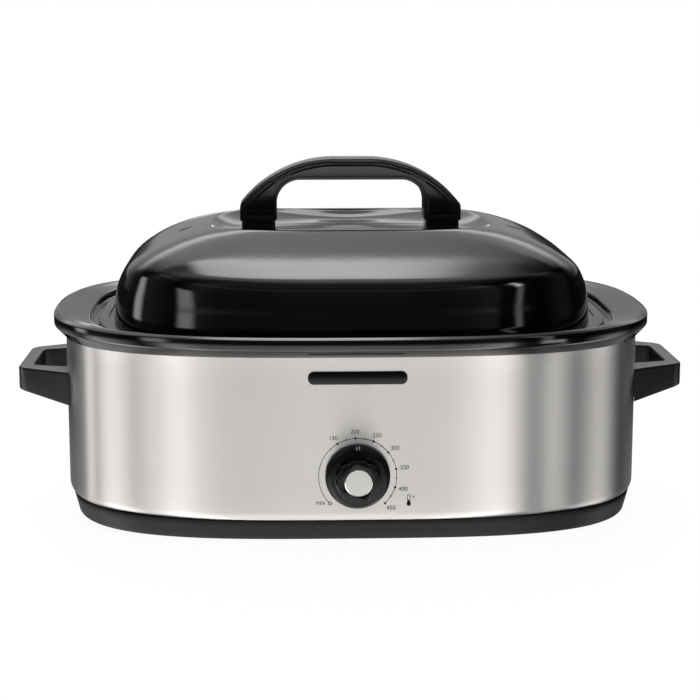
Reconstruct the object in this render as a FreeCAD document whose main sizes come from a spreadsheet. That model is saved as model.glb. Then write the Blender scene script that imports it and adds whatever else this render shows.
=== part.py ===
import FreeCAD, Part
import Sketcher
import math
import os
from types import SimpleNamespace

# Electric roaster oven: a heated well hung in a stainless wrap on a plastic base, with a
# lift-out pan and rack, a domed lid and a turning thermostat knob.
# Millimetres, +Z up. The origin lies under the middle of the body, on the plane of its feet.
# The front, with the knob, faces -Y and the two carrying handles face -X and +X.

doc = FreeCAD.newDocument("RoasterOven")
sheet = doc.addObject("Spreadsheet::Sheet", "Sizes")

SIZES = (
    # clearances
    ("seatGap", 0.3, "between curved faces that rest on each other"),
    ("runningGap", 0.05, "radial, between a shaft and its bearing"),
    ("screwGap", 0.3, "radial, around a screw in a drilled hole"),
    # feet, base and bottom plate
    ("footRise", 2.5, "how far the feet stand below the base"),
    ("footRadius", 11, ""),
    ("footStemRadius", 3, ""),
    ("footStemBarb", 1.2, "barb that holds the stem in the plate"),
    ("footStemOver", 2, "stem above the plate"),
    ("footEdge", 1, "chamfer round the sole"),
    ("footInLong", 74.5, "from the base's end in to a foot"),
    ("footInWide", 65, "from the base's front or back"),
    ("baseInLong", 4.5, "base inside the wrap, at the ends"),
    ("baseInWide", 4, "at front and back"),
    ("baseHeight", 18, ""),
    ("baseTaperLong", 4, "how far the ends lean in downwards"),
    ("baseTaperWide", 1.5, "how far the front and back lean in"),
    ("baseWall", 3, ""),
    ("baseRound", 2, ""),
    ("baseLedge", 15, "width of the inward ledges"),
    ("plateWall", 1, "bottom plate"),
    ("plateIn", 11.5, "plate's edge inside the base's outside"),
    ("studRadius", 3, ""),
    ("studInLong", 69, "from the well's end in to a stud"),
    ("studInWide", 86, "from the well's front or back"),
    ("studNutRadius", 5.8, "across its corners, halved"),
    ("studNutDepth", 3, ""),
    ("studEnd", 0.5, "stud beyond its nut"),
    ("baseScrewIn", 15, "screw's axis inside the base's outside"),
    ("baseScrewRadius", 1.8, ""),
    ("baseScrewHeadRadius", 3.6, ""),
    ("baseScrewLength", 8, ""),
    ("baseScrewHead", 1.7, ""),
    # stainless wrap
    ("wrapOutLong", 50, "wrap outside the well, at the ends"),
    ("wrapOutWide", 13, "at front and back"),
    ("wrapWall", 0.8, ""),
    ("wrapCurl", 5, "how far the lower edge curls in"),
    ("wrapCurlHeight", 8, ""),
    ("wrapFlange", 6, "turned in, to lie on the base"),
    ("wrapOverShelf", 2, "wrap's hidden upper edge above the well's shelf"),
    # well and its rim
    ("rimOutLong", 12, "rim outside the wrap, at the ends"),
    ("rimOutWide", 17, "at front and back"),
    ("rimTop", 187, "height of the outer edge"),
    ("rimRound", 3, ""),
    ("rimSkirt", 11.6, "height of the outer skirt"),
    ("rimTuck", 8.2, "height of the slanted part below the skirt"),
    ("rimFall", 3.4, "how far the top slopes down inwards"),
    ("wellWall", 1.2, ""),
    ("pressedLean", 0.4, "how far an upright pressed edge leans"),
    ("shelfBend", 2, "bend from the shelf into the well's wall"),
    ("shelfLong", 27, "shelf round the well's mouth, at the ends"),
    ("shelfWide", 11, "at front and back"),
    ("recessDepth", 7.1, "from the lip down to the pan's shelf"),
    ("wellHalfLength", 219, "inside, at the mouth"),
    ("wellHalfWidth", 181, ""),
    ("wellDraft", 12, "how far the wall leans in downwards"),
    ("wellRound", 16, ""),
    ("wellFloor", 40, "height of the floor inside"),
    # pan
    ("panWall", 1, ""),
    ("panRimInLong", 8, "pan's rim inside the recess, at the ends"),
    ("panRimInWide", 2, "at front and back"),
    ("panRimHeight", 3.5, ""),
    ("panRimRound", 1.5, ""),
    ("panNeck", 3, "bend from the groove into the pan's wall"),
    ("grooveLean", 0.7, "how far the groove's outer side leans"),
    ("grooveInLong", 9.7, "lid's groove inside the pan's rim, at the ends"),
    ("grooveInWide", 2.9, "at front and back"),
    ("panGrooveDepth", 1.3, ""),
    ("panInLong", 6, "pan inside the well, at the ends"),
    ("panInWide", 6.5, "at front and back"),
    ("panDraft", 9, ""),
    ("panRound", 14, ""),
    ("panFloorGap", 5, "pan floor above the well floor"),
    # lid
    ("lidWall", 1, ""),
    ("lidInLong", 4.8, "lid inside the groove, at the ends"),
    ("lidInWide", 1.3, "at front and back"),
    ("lidWallHeight", 22, "upright part of the lid's wall"),
    ("lidHeight", 87.2, "bottom edge to plateau"),
    ("plateauInLong", 111.5, "plateau inside the lid's edge, at the ends"),
    ("plateauInWide", 87.8, "at front and back"),
    ("lidDraftLong", 1.7, "how far the upright wall leans in, at the ends"),
    ("lidDraftWide", 0.5, "at front and back"),
    ("dishInLong", 87, "sunk panel's lip inside the lid's edge, at the ends"),
    ("dishInWide", 97, "at front and back"),
    ("dishSlopeLong", 30, "from its lip down to its level floor, at the ends"),
    ("dishSlopeWide", 38, "at front and back"),
    ("dishDepth", 11.5, ""),
    ("dishCurve", 1.8, "power of its slope: 1 is straight, higher is flatter at the floor"),
    ("ventLength", 12, ""),
    ("ventWidth", 3, ""),
    ("ventIn", 65.5, "from the lid's edge in to a steam vent"),
    # lid handle
    ("gripHalfLength", 105, ""),
    ("gripDepth", 36, ""),
    ("gripTop", 58, "above the spacers"),
    ("gripCorner", 14, "height of the legs' upright ends"),
    ("gripArc", 112, "radius of the shoulders"),
    ("gripThickness", 20, ""),
    ("gripLeg", 35, "width of a leg"),
    ("gripArch", 22, "radius inside each leg"),
    ("gripPanel", 0.8, "depth of the sunk side panels"),
    ("gripBorder", 3.2, "width of the border round them"),
    ("gripFootBorder", 2.4, "border above the spacer"),
    ("gripFlat", 16, "half the level stretch on top"),
    ("gripKnee", 8, "radius where a leg meets the shoulder"),
    ("gripEdge", 2, ""),
    ("gripPast", 9, "how far a panel's outline passes the arch, into the opening"),
    ("spacerHeight", 12, ""),
    ("spacerInset", 1.6, ""),
    ("spacerDepth", 31, ""),
    ("spacerRound", 3, ""),
    ("gripScrewGrip", 14, "screw length in the leg"),
    ("screwHeadRadius", 4.5, ""),
    ("screwHeadDepth", 2.4, ""),
    ("washerRadius", 7, ""),
    ("washerDepth", 1, ""),
    ("gripScrewOut", 88, ""),
    ("gripScrewRadius", 2.5, ""),
    # side handles
    ("handleOut", 45, "from the wrap to the outer face"),
    ("handleHalfRoot", 83, "half the width at the wall"),
    ("handleHalfEnd", 53, "half the width at the outer face"),
    ("handleTop", 133.5, ""),
    ("handleRootHeight", 31, ""),
    ("handleEndHeight", 20.6, ""),
    ("handleBar", 13, "thickness of the bar"),
    ("handleHalfOpening", 50, "half the opening at the wall"),
    ("handleRound", 18, ""),
    ("handleEdge", 2, ""),
    ("handleSlopeIn", 1, "start of the underside's slope, below the root"),
    ("handleScrewOut", 66, ""),
    ("handleScrewHeight", 118, ""),
    ("handleScrewRadius", 2.4, ""),
    ("handleScrewLength", 14, ""),
    # knob and thermostat
    ("knobHeight", 61, "height of the knob's axis"),
    ("knobGap", 0.8, "skirt to wrap"),
    ("knobSkirtRadius", 28.5, ""),
    ("knobSkirtDepth", 7.5, ""),
    ("knobShoulderRadius", 25.2, "where the skirt's cone ends"),
    ("knobGripRadius", 19.6, ""),
    ("knobDepth", 22.6, "wrap to the grip's face"),
    ("knobFlute", 4.2, "radius of a finger flute"),
    ("knobFluteOut", 22, "from the axis to the middle of a flute"),
    ("knobCapRadius", 12.2, ""),
    ("knobCapDepth", 2.2, ""),
    ("knobCapProud", 1.4, ""),
    ("knobHollowRadius", 19, ""),
    ("knobHollowDepth", 6, ""),
    ("knobHollowFlare", 1.5, "how far the hollow widens to its mouth"),
    ("knobSkirtLand", 1, "upright stretch of the skirt's rim"),
    ("knobGripDraft", 0.8, "how far the grip narrows to its face"),
    ("knobEdge", 0.8, "chamfer of each edge"),
    ("knobCapGap", 0.1, "radial, round the cap"),
    ("shaftRadius", 3, ""),
    ("shaftReach", 16, "beyond the wrap"),
    ("shaftInside", 7, "behind the wrap's face"),
    ("shaftFlat", 0.9, "depth of the knob's flat"),
    ("shaftCollar", 1, "round stretch between the bush and the flat"),
    ("bushRadius", 4.75, ""),
    ("bushReach", 4, "beyond the wrap"),
    ("bushNutRadius", 8, "across its corners, halved"),
    ("bushNutDepth", 2.2, ""),
    ("restGap", 0.1, "between a part and the flat sheet that it is clamped on"),
    ("thermostatLength", 34, ""),
    ("thermostatHeight", 30, ""),
    ("thermostatDepth", 13, ""),
    ("bracketLength", 58, ""),
    ("bracketHeight", 44, ""),
    ("bracketWall", 1.2, ""),
    ("bracketRound", 4, ""),
    # heating
    ("bandWall", 1.5, ""),
    ("bandUp", 30, "band above the well's bend"),
    ("bandDown", 28.5, "band below the shelf"),
    ("blanketWall", 7, ""),
    ("blanketUp", 36, ""),
    ("blanketDown", 14.5, ""),
    # wiring under the well
    ("terminalLength", 36, ""),
    ("terminalDepth", 16, ""),
    ("terminalHeight", 18, ""),
    ("terminalOut", 45, "to the right of the middle"),
    ("terminalBack", 120, "behind the middle"),
    ("terminalPitch", 11, ""),
    ("terminalRound", 1, ""),
    ("terminalScrewRadius", 2.2, "radius of a screw's hole"),
    ("terminalScrewDepth", 6, ""),
    ("terminalWay", 7, "height of a lead's way above the plate"),
    ("terminalPlay", 0.4, "radial, round a lead in its way"),
    ("fuseRadius", 3.5, ""),
    ("fuseLength", 22, ""),
    ("fuseOut", 60, "to the left of the middle"),
    ("fuseFront", 40, "in front of the middle"),
    ("clipWall", 1, ""),
    ("clipLength", 10, ""),
    ("clipFlange", 6, ""),
    ("leadRadius", 1.25, ""),
    ("leadBend", 12, ""),
    # cord gland in the rear wall
    ("glandHeight", 45, ""),
    ("glandBore", 3.5, "radius"),
    ("glandNeck", 6, "radius"),
    ("glandFlange", 9, "radius"),
    ("glandFlangeWall", 2.5, ""),
    ("glandNose", 6.5, "radius of the sleeve outside the flange"),
    ("glandNoseLength", 8, "how far the sleeve reaches out of the wall"),
    ("glandMouth", 4.6, "radius of the wider bore inside the wall"),
    ("glandStep", 1, "where the bore narrows, out from the wall"),
    ("glandPlay", 0.1, "between its flanges and the sheet"),
    ("glandEdge", 0.8, "chamfer of its flange and its nose"),
    # rack
    ("rackInLong", 31, "rack inside the pan, at the ends"),
    ("rackInWide", 34.5, "at front and back"),
    ("rackCorner", 62, ""),
    ("rackWire", 2.5, "radius of the frame wire"),
    ("rackCross", 1.75, "radius of the cross wires"),
    ("rackFoot", 8, "frame wire's middle above the pan floor"),
    ("rackLoopWidth", 84, ""),
    ("rackLoopHeight", 86, "above the frame wire"),
    ("rackLoopBend", 14, ""),
    ("rackWeld", 0.6, "how deep two wires melt together"),
)

SHAPES = (
    # how square each outline is: 2 is an ellipse, higher is nearer a rectangle
    ("rimSquareness", 2.74, ""),
    ("wrapSquareness", 3.1, ""),
    ("baseSquareness", 3.4, ""),
    ("wellSquareness", 3.2, ""),
    ("lidSquareness", 3.3, ""),
    ("plateauSquareness", 8, ""),
    ("dishSquareness", 3.5, ""),
    # numbers of like features
    ("knobFlutes", 12, ""),
    ("rackCrossWires", 9, ""),
)


class Dim:
    """A size that knows its sheet expression as well as its number."""

    def __init__(self, text, number):
        self.text = text
        self.number = float(number)

    def joined(self, sign, other, number):
        return Dim(f"({self} {sign} {other})", number)

    def __add__(self, other):
        return self.joined("+", other, float(self) + float(other))

    def __sub__(self, other):
        return self.joined("-", other, float(self) - float(other))

    def __mul__(self, other):
        return self.joined("*", other, float(self) * float(other))

    def __truediv__(self, other):
        return self.joined("/", other, float(self) / float(other))

    def __neg__(self):
        return Dim(f"(-1 * {self})", -float(self))

    def __float__(self):
        return self.number

    def __str__(self):
        return self.text


size = SimpleNamespace()
for row, (alias, amount, note) in enumerate(SIZES + SHAPES, start=1):
    sheet.set(f"A{row}", alias)
    sheet.set(f"B{row}", str(amount))
    sheet.set(f"C{row}", note)
    sheet.setAlias(f"B{row}", alias)
doc.recompute()
for alias, amount, note in SIZES + SHAPES:
    setattr(size, alias, Dim(f"Sizes.{alias}", float(sheet.get(alias))))

nodes = {}


def bind(thing, path, dim):
    """Ties one property of a document object to the sheet."""
    if isinstance(dim, Dim):
        thing.setExpression(path, str(dim))
    else:
        setattr(thing, path, dim)


def place(thing, x=0, y=0, z=0, axis=None, angle=0):
    """Puts an object's own origin at x, y, z, turned about an axis."""
    turn = FreeCAD.Rotation(FreeCAD.Vector(*(axis or (0, 0, 1))), angle)
    thing.Placement = FreeCAD.Placement(FreeCAD.Vector(float(x), float(y), float(z)), turn)
    for letter, dim in (("x", x), ("y", y), ("z", z)):
        if isinstance(dim, Dim):
            thing.setExpression(f"Placement.Base.{letter}", str(dim))
    return thing


def node(thing, label):
    """Names a finished sub-part."""
    thing.Label = label
    nodes[label] = thing
    return thing


# ---------------------------------------------------------------- superelliptic pressings
OUTLINE_POINTS = 64
CORNER_CROWDING = 0.6  # draws an outline's points together at its corners
PAST = 10  # how far a cutting tool stands out on each side of what it cuts


class Ring:
    """A level superelliptic outline round the origin."""

    def __init__(self, half_length, half_width, squareness):
        self.half_length = float(half_length)
        self.half_width = float(half_width)
        self.squareness = float(squareness)

    def grown(self, by, by_width=None):
        wide = by if by_width is None else by_width
        return Ring(self.half_length + float(by), self.half_width + float(wide), self.squareness)

    def toward(self, other, share):
        return Ring(
            self.half_length + (other.half_length - self.half_length) * share,
            self.half_width + (other.half_width - self.half_width) * share,
            self.squareness + (other.squareness - self.squareness) * share,
        )

    def curve(self, height):
        points = []
        for step in range(OUTLINE_POINTS):
            turn = 2 * math.pi * step / OUTLINE_POINTS
            turn += CORNER_CROWDING / 4 * math.sin(4 * turn)
            across, along = math.cos(turn), math.sin(turn)
            n = self.squareness
            reach = (abs(across) ** n + abs(along) ** n) ** (-1 / n)
            points.append(
                FreeCAD.Vector(
                    self.half_length * reach * across, self.half_width * reach * along, float(height)
                )
            )
        spline = Part.BSplineCurve()
        knots = [float(k) for k in range(OUTLINE_POINTS + 1)]
        spline.interpolate(Points=points, PeriodicFlag=True, Parameters=knots)
        return spline.toShape()

    def wire(self, height):
        return Part.Wire(self.curve(height))


def quarter(start, end, upright_first, steps=4):
    """Stations of a quarter round from one (ring, height) to another."""
    (ring_a, height_a), (ring_b, height_b) = start, end
    stations = []
    for step in range(1, steps + 1):
        turn = math.pi / 2 * step / steps
        slow, fast = 1 - math.cos(turn), math.sin(turn)
        inward, rise = (slow, fast) if upright_first else (fast, slow)
        height = float(height_a) + (float(height_b) - float(height_a)) * rise
        stations.append((ring_a.toward(ring_b, inward), height))
    return stations


def skin(stations):
    """The faces through two or more stations."""
    if len(stations) > 2:
        return Part.makeLoft([ring.wire(z) for ring, z in stations], False, False).Faces
    (ring_a, height_a), (ring_b, height_b) = stations
    if abs(float(height_a) - float(height_b)) < 1e-6:
        wires = sorted((ring_a.wire(height_a), ring_b.wire(height_b)), key=lambda w: -w.BoundBox.XLength)
        return [Part.Face(wires, "Part::FaceMakerBullseye")]
    return [Part.makeRuledSurface(ring_a.curve(height_a), ring_b.curve(height_b))]


def pressing(profile):
    """A solid from a profile of stations. A list inside the profile is a smooth stretch.
    The ends are closed by flat faces, or meet if the profile ends where it starts."""
    faces = []
    here = profile[0]
    for stretch in profile[1:]:
        stations = stretch if isinstance(stretch, list) else [stretch]
        faces += skin([here] + stations)
        here = stations[-1]
    if here is not profile[0]:
        for ring, height in (profile[0], here):
            faces.append(Part.Face(ring.wire(height)))
    sewn = Part.Compound(faces)
    sewn.sewShape()
    solid = Part.Solid(sewn.Shells[0])
    if solid.Volume < 0:
        solid.reverse()
    return solid


def formed(label, shape):
    """A sub-part whose shape is made by the functions above."""
    feature = doc.addObject("Part::Feature", label)
    feature.Shape = shape
    return node(feature, label)


def drill(shape, x, y, z, radius, length, axis):
    """Takes a round hole out of a formed shape."""
    hole = Part.makeCylinder(
        float(radius), float(length), FreeCAD.Vector(float(x), float(y), float(z)), FreeCAD.Vector(*axis)
    )
    return shape.cut(hole)


# everything else stands off the well's mouth by a named distance
wrap_long, wrap_wide = size.wellHalfLength + size.wrapOutLong, size.wellHalfWidth + size.wrapOutWide
base_long, base_wide = wrap_long - size.baseInLong, wrap_wide - size.baseInWide
base_top = size.footRise + size.baseHeight
well = Ring(size.wellHalfLength, size.wellHalfWidth, size.wellSquareness)
recess = well.grown(size.shelfLong, size.shelfWide)
wrap = Ring(wrap_long, wrap_wide, size.wrapSquareness)
rim = Ring(wrap_long + size.rimOutLong, wrap_wide + size.rimOutWide, size.rimSquareness)
base = Ring(base_long, base_wide, size.baseSquareness)
lip_height = size.rimTop - size.rimFall
shelf_height = lip_height - size.recessDepth
well_bend = size.wellFloor + size.wellRound


def corners(across, deep):
    """The four places mirrored about both middles."""
    return [(across * sx, deep * sy) for sx in (-1, 1) for sy in (-1, 1)]


# ---------------------------------------------------------------- base
def base_ring():
    """A channel open inwards: the wrap stands on its upper ledge, the plate on its lower."""
    foot = base.grown(-float(size.baseTaperLong), -float(size.baseTaperWide))
    low, top = float(size.footRise), float(base_top)
    wall, edge, ledge = float(size.baseWall), float(size.baseRound), float(size.baseLedge)
    start = (foot.grown(-edge), low)
    below_top = (base, top - edge / 2)
    ring = pressing(
        [
            start,
            quarter(start, (foot, low + edge), False),
            below_top,
            quarter(below_top, (base.grown(-edge / 2), top), True),
            (base.grown(-wall - ledge / 2), top),
            (base.grown(-wall - ledge / 2), top - wall),
            (base.grown(-wall), top - wall),
            (foot.grown(-wall), low + wall),
            (foot.grown(-wall - ledge), low + wall),
            (foot.grown(-wall - ledge), low),
            start,
        ]
    )
    for x, y in base_screw_places:
        ring = drill(ring, x, y, 0, size.baseScrewRadius + size.runningGap, low + wall + PAST / 2, (0, 0, 1))
    return ring


plate_ring = base.grown(-size.plateIn)
plate_low = size.footRise + size.baseWall
plate_top = plate_low + size.plateWall
foot_out, foot_deep = base_long - size.footInLong, base_wide - size.footInWide
foot_places = corners(foot_out, foot_deep)
stud_places = corners(size.wellHalfLength - size.studInLong, size.wellHalfWidth - size.studInWide)
screw_out = base_long - size.baseTaperLong - size.baseScrewIn
screw_deep = base_wide - size.baseTaperWide - size.baseScrewIn
base_screw_places = [(-screw_out, 0), (screw_out, 0), (0, -screw_deep), (0, screw_deep)]

formed("base_ring", base_ring())


def bottom_plate():
    plate = Part.Face(plate_ring.wire(plate_low)).extrude(FreeCAD.Vector(0, 0, float(size.plateWall)))
    for x, y in foot_places:
        plate = drill(plate, x, y, 0, size.footStemRadius + size.screwGap, plate_top + PAST, (0, 0, 1))
    for x, y in stud_places:
        plate = drill(plate, x, y, 0, size.studRadius + size.screwGap, plate_top + PAST, (0, 0, 1))
    for x, y in base_screw_places:
        plate = drill(plate, x, y, 0, size.baseScrewRadius + size.runningGap, plate_top + PAST, (0, 0, 1))
    return plate


formed("bottom_plate", bottom_plate())


# ---------------------------------------------------------------- wrap
def wrap_profile():
    inner = wrap.grown(-float(size.wrapWall))
    seat = wrap.grown(-float(size.wrapCurl))
    low, wall = float(base_top), float(size.wrapWall)
    curl_top = low + float(size.wrapCurlHeight)
    start = (seat.grown(-float(size.wrapFlange)), low)
    outer_turn = (seat, low)
    return [
        start,
        outer_turn,
        quarter(outer_turn, (wrap, curl_top), False),
        (wrap, wrap_top),
        (inner, wrap_top),
        (inner, curl_top),
        quarter((inner, curl_top), (seat, low + wall), True),
        (seat.grown(-float(size.wrapFlange)), low + wall),
        start,
    ]


wrap_top = float(shelf_height + size.wrapOverShelf)


def outer_wrap():
    band = pressing(wrap_profile())
    length = PAST * 4
    front, rear = -wrap.half_width - PAST, wrap.half_width + PAST - length
    band = drill(band, 0, front, size.knobHeight, size.bushRadius + size.screwGap, length, (0, 1, 0))
    band = drill(band, 0, rear, size.glandHeight, size.glandNeck + size.screwGap, length, (0, 1, 0))
    for side in (-1, 1):
        for y in (-float(size.handleScrewOut), float(size.handleScrewOut)):
            start = side * (wrap.half_length + PAST - length)
            radius = size.handleScrewRadius + size.screwGap
            band = drill(band, start, y, size.handleScrewHeight, radius, length, (side, 0, 0))
    return band


formed("outer_wrap", outer_wrap())


# ---------------------------------------------------------------- well
def well_liner():
    wall, edge, bend = float(size.wellWall), float(size.rimRound), float(size.wellRound)
    top, skirt_low = float(size.rimTop), float(size.rimTop) - float(size.rimSkirt)
    lip, shelf, floor = float(lip_height), float(shelf_height), float(size.wellFloor)
    draft, lean, turn = float(size.wellDraft), float(size.pressedLean), float(size.shelfBend)
    tuck = wrap.grown(float(size.seatGap))
    tuck_low = skirt_low - float(size.rimTuck)
    shelf_corner, shelf_bend = recess.grown(-turn / 2), well.grown(turn)
    foot, pad = well.grown(-draft), well.grown(-draft - bend)
    start = (pad, floor - wall)
    under_bend = (foot.grown(wall), floor + bend)
    under_neck = (well.grown(wall), shelf - turn)
    under_lip = (recess.grown(wall + lean), lip - wall)
    under_edge = (rim.grown(-edge), top - wall)
    skirt_top = (rim, top - edge)
    lip_edge = (recess.grown(wall), lip)
    neck = (well, shelf - turn)
    return pressing(
        [
            start,
            quarter(start, under_bend, False),
            under_neck,
            quarter(under_neck, (shelf_bend.grown(lean), shelf - wall), True, 2),
            (shelf_corner.grown(wall), shelf - wall),
            under_lip,
            under_edge,
            quarter(under_edge, (rim.grown(-wall), top - edge), False, 2),
            (rim.grown(-wall - lean), skirt_low + wall / 2),
            (tuck, tuck_low + wall / 2),
            (tuck.grown(wall - lean), tuck_low),
            (rim.grown(-lean), skirt_low),
            skirt_top,
            quarter(skirt_top, (rim.grown(-edge), top), True),
            lip_edge,
            quarter(lip_edge, (recess, lip - wall), False, 2),
            (shelf_corner, shelf),
            (shelf_bend, shelf),
            quarter((shelf_bend, shelf), neck, False, 3),
            (foot, floor + bend),
            quarter((foot, floor + bend), (pad, floor), True),
        ]
    )


formed("well_liner", well_liner())


def well_outside(height):
    """The well's outer wall at a height, as a ring."""
    high, low = float(shelf_height - size.shelfBend), float(well_bend)
    share = (high - float(height)) / (high - low)
    return well.grown(float(size.wellWall) - share * float(size.wellDraft))


def sleeve(up, down, gap, wall):
    """A band that follows the well's drafted wall, from above its bend to below its shelf."""
    low, high = float(well_bend + up), float(shelf_height - down)
    inner_low, inner_high = (well_outside(h).grown(float(gap)) for h in (low, high))
    start = (inner_low, low)
    outer_low, outer_high = inner_low.grown(float(wall)), inner_high.grown(float(wall))
    return pressing([start, (outer_low, low), (outer_high, high), (inner_high, high), start])


band_gap = size.seatGap
blanket_gap = band_gap + size.bandWall + size.seatGap
formed("heater_band", sleeve(size.bandUp, size.bandDown, band_gap, size.bandWall))
formed("insulation_blanket", sleeve(size.blanketUp, size.blanketDown, blanket_gap, size.blanketWall))


# ---------------------------------------------------------------- pan
pan_rim = recess.grown(-size.panRimInLong, -size.panRimInWide)
pan_groove = pan_rim.grown(-size.grooveInLong, -size.grooveInWide)
pan = well.grown(-size.panInLong, -size.panInWide)
pan_floor = size.wellFloor + size.panFloorGap + size.panWall
pan_rim_low = shelf_height + size.seatGap
pan_rim_top = pan_rim_low + size.panRimHeight
groove_floor = pan_rim_top - size.panGrooveDepth


def roasting_pan():
    wall, edge, bend = float(size.panWall), float(size.panRimRound), float(size.panRound)
    low, top, groove = float(pan_rim_low), float(pan_rim_top), float(groove_floor)
    floor, draft, neck = float(pan_floor), float(size.panDraft), float(size.panNeck)
    foot, pad = pan.grown(-draft), pan.grown(-draft - bend)
    start = (pad, floor - wall)
    under_bend = (foot.grown(wall), floor + bend)
    under_neck = (pan.grown(wall), groove - neck)
    skirt = (pan_rim, top - edge)
    mouth = (pan.grown(neck), groove)
    return pressing(
        [
            start,
            quarter(start, under_bend, False),
            under_neck,
            quarter(under_neck, (pan.grown(neck), groove - wall), True, 3),
            (pan_rim.grown(-wall), groove - wall),
            (pan_rim.grown(-wall), low),
            (pan_rim, low),
            skirt,
            quarter(skirt, (pan_rim.grown(-edge), top), True, 3),
            (pan_groove.grown(size.grooveLean), top),
            (pan_groove, groove),
            mouth,
            quarter(mouth, (pan, groove - neck), False, 3),
            (foot, floor + bend),
            quarter((foot, floor + bend), (pad, floor), True),
        ]
    )


formed("roasting_pan", roasting_pan())


# ---------------------------------------------------------------- lid
lid_low = groove_floor + size.seatGap
plateau_height = lid_low + size.lidHeight
dish_floor = plateau_height - size.dishDepth
lid_mouth = pan_groove.grown(-size.lidInLong, -size.lidInWide)
lid_long, lid_wide = lid_mouth.half_length, lid_mouth.half_width
lid_edge = Ring(lid_long, lid_wide, size.lidSquareness)
plateau = Ring(
    lid_long - float(size.plateauInLong), lid_wide - float(size.plateauInWide), size.plateauSquareness
)
dish = Ring(lid_long - float(size.dishInLong), lid_wide - float(size.dishInWide), size.dishSquareness)


def dome_stations():
    """From the top of the upright wall to the plateau: the ends rise in an arch, while the
    front and back turn over a tight shoulder into a straight slope."""
    wall_top = lid_edge.grown(-size.lidDraftLong, -size.lidDraftWide)
    low, high = float(lid_low) + float(size.lidWallHeight), float(plateau_height)
    # share of the rise, of the way in lengthwise, of the way in widthwise, of the squareness
    course = (
        (0.17, 0.024, 0.006, 0.02),
        (0.34, 0.071, 0.040, 0.08),
        (0.46, 0.126, 0.130, 0.22),
        (0.565, 0.212, 0.275, 0.45),
        (0.70, 0.354, 0.478, 0.72),
        (0.84, 0.555, 0.704, 0.92),
        (0.94, 0.765, 0.880, 1.0),
        (1.0, 1.0, 1.0, 1.0),
    )
    stations = [(wall_top, low)]
    for rise, inward, inward_wide, square in course:
        ring = Ring(
            wall_top.half_length + (plateau.half_length - wall_top.half_length) * inward,
            wall_top.half_width + (plateau.half_width - wall_top.half_width) * inward_wide,
            wall_top.squareness + (plateau.squareness - wall_top.squareness) * square,
        )
        stations.append((ring, low + (high - low) * rise))
    return stations


# of the way from the sunk panel's floor to its lip, where the curve passes; it ends above the lip
DISH_SHARES = (0, 0.2, 0.4, 0.6, 0.8, 1, 1.25)


def lid_body(inset, drop):
    """The lid's outer form, or its inside when inset and dropped by the wall."""
    stations = [(ring.grown(-inset), height - drop) for ring, height in dome_stations()]
    return pressing([(lid_edge.grown(-inset), float(lid_low)), stations[0], stations[1:]])


def dish_cutter(sink):
    """The sunk panel: a level floor whose edge rises in a hollow curve to the lip. It lies
    deeper by the wall where it shapes the inside."""
    bed = dish.grown(-size.dishSlopeLong, -size.dishSlopeWide)
    stations = []
    for share in DISH_SHARES:
        lift = float(size.dishDepth) * share ** float(size.dishCurve)
        ring = bed.toward(dish, share).grown(sink * share / 2)
        stations.append((ring, float(dish_floor) - sink + lift))
    return pressing([stations[0], stations[1:]])


def lid_sheet():
    """The lid's pressing in one, which its two nodes share along the sunk panel's lip."""
    wall = float(size.lidWall)
    outside = lid_body(0, 0).cut(dish_cutter(0))
    inside = lid_body(wall, wall).cut(dish_cutter(wall))
    return outside.cut(inside)


def lid_shell(sheet):
    shell = sheet.cut(dish_cutter(float(size.lidWall)))
    for side in (-1, 1):
        slot = Part.makeBox(float(size.ventLength), float(size.ventWidth), PAST * 4)
        slot.translate(
            FreeCAD.Vector(
                side * (lid_long - float(size.ventIn)) - float(size.ventLength) / 2,
                -float(size.ventWidth) / 2,
                float(plateau_height) - PAST * 4,
            )
        )
        ends = [edge for edge in slot.Edges if edge.BoundBox.ZLength > 1]
        shell = shell.cut(slot.makeFillet(float(size.ventWidth) / 2 - 0.01, ends))
    return shell


def lid_panel(sheet):
    """The sunk panel under the handle, with the handle's two screw holes."""
    panel = sheet.common(dish_cutter(float(size.lidWall)))
    for side in (-1, 1):
        x = side * float(size.gripScrewOut)
        panel = drill(panel, x, 0, dish_floor - PAST, size.gripScrewRadius + size.screwGap, PAST * 2, (0, 0, 1))
    return panel


whole_lid = lid_sheet()
formed("lid_shell", lid_shell(whole_lid))
formed("lid_panel", lid_panel(whole_lid))


# ---------------------------------------------------------------- PartDesign helpers
def new_body(label):
    return node(doc.addObject("PartDesign::Body", label), label)


def origin_plane(body, role):
    return next(item for item in body.Origin.OriginFeatures if item.Role == role)


def new_sketch(body, name, role, offset=None):
    """A sketch on one of the body's own origin planes, raised along the plane's normal."""
    sketch = body.newObject("Sketcher::SketchObject", name)
    sketch.AttachmentSupport = [(origin_plane(body, role), "")]
    sketch.MapMode = "FlatFace"
    if offset is not None:
        sketch.AttachmentOffset = FreeCAD.Placement(
            FreeCAD.Vector(0, 0, float(offset)), FreeCAD.Rotation()
        )
        if isinstance(offset, Dim):
            sketch.setExpression("AttachmentOffset.Base.z", str(offset))
    return sketch


def fix_point(sketch, geometry, end, x, y):
    """Holds a point of the sketch at x, y from the sketch's origin."""
    for kind, dim in (("DistanceX", x), ("DistanceY", y)):
        constraint = Sketcher.Constraint(kind, -1, 1, geometry, end, float(dim))
        index = sketch.addConstraint(constraint)
        if isinstance(dim, Dim):
            sketch.setExpression(f"Constraints[{index}]", str(dim))


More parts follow.
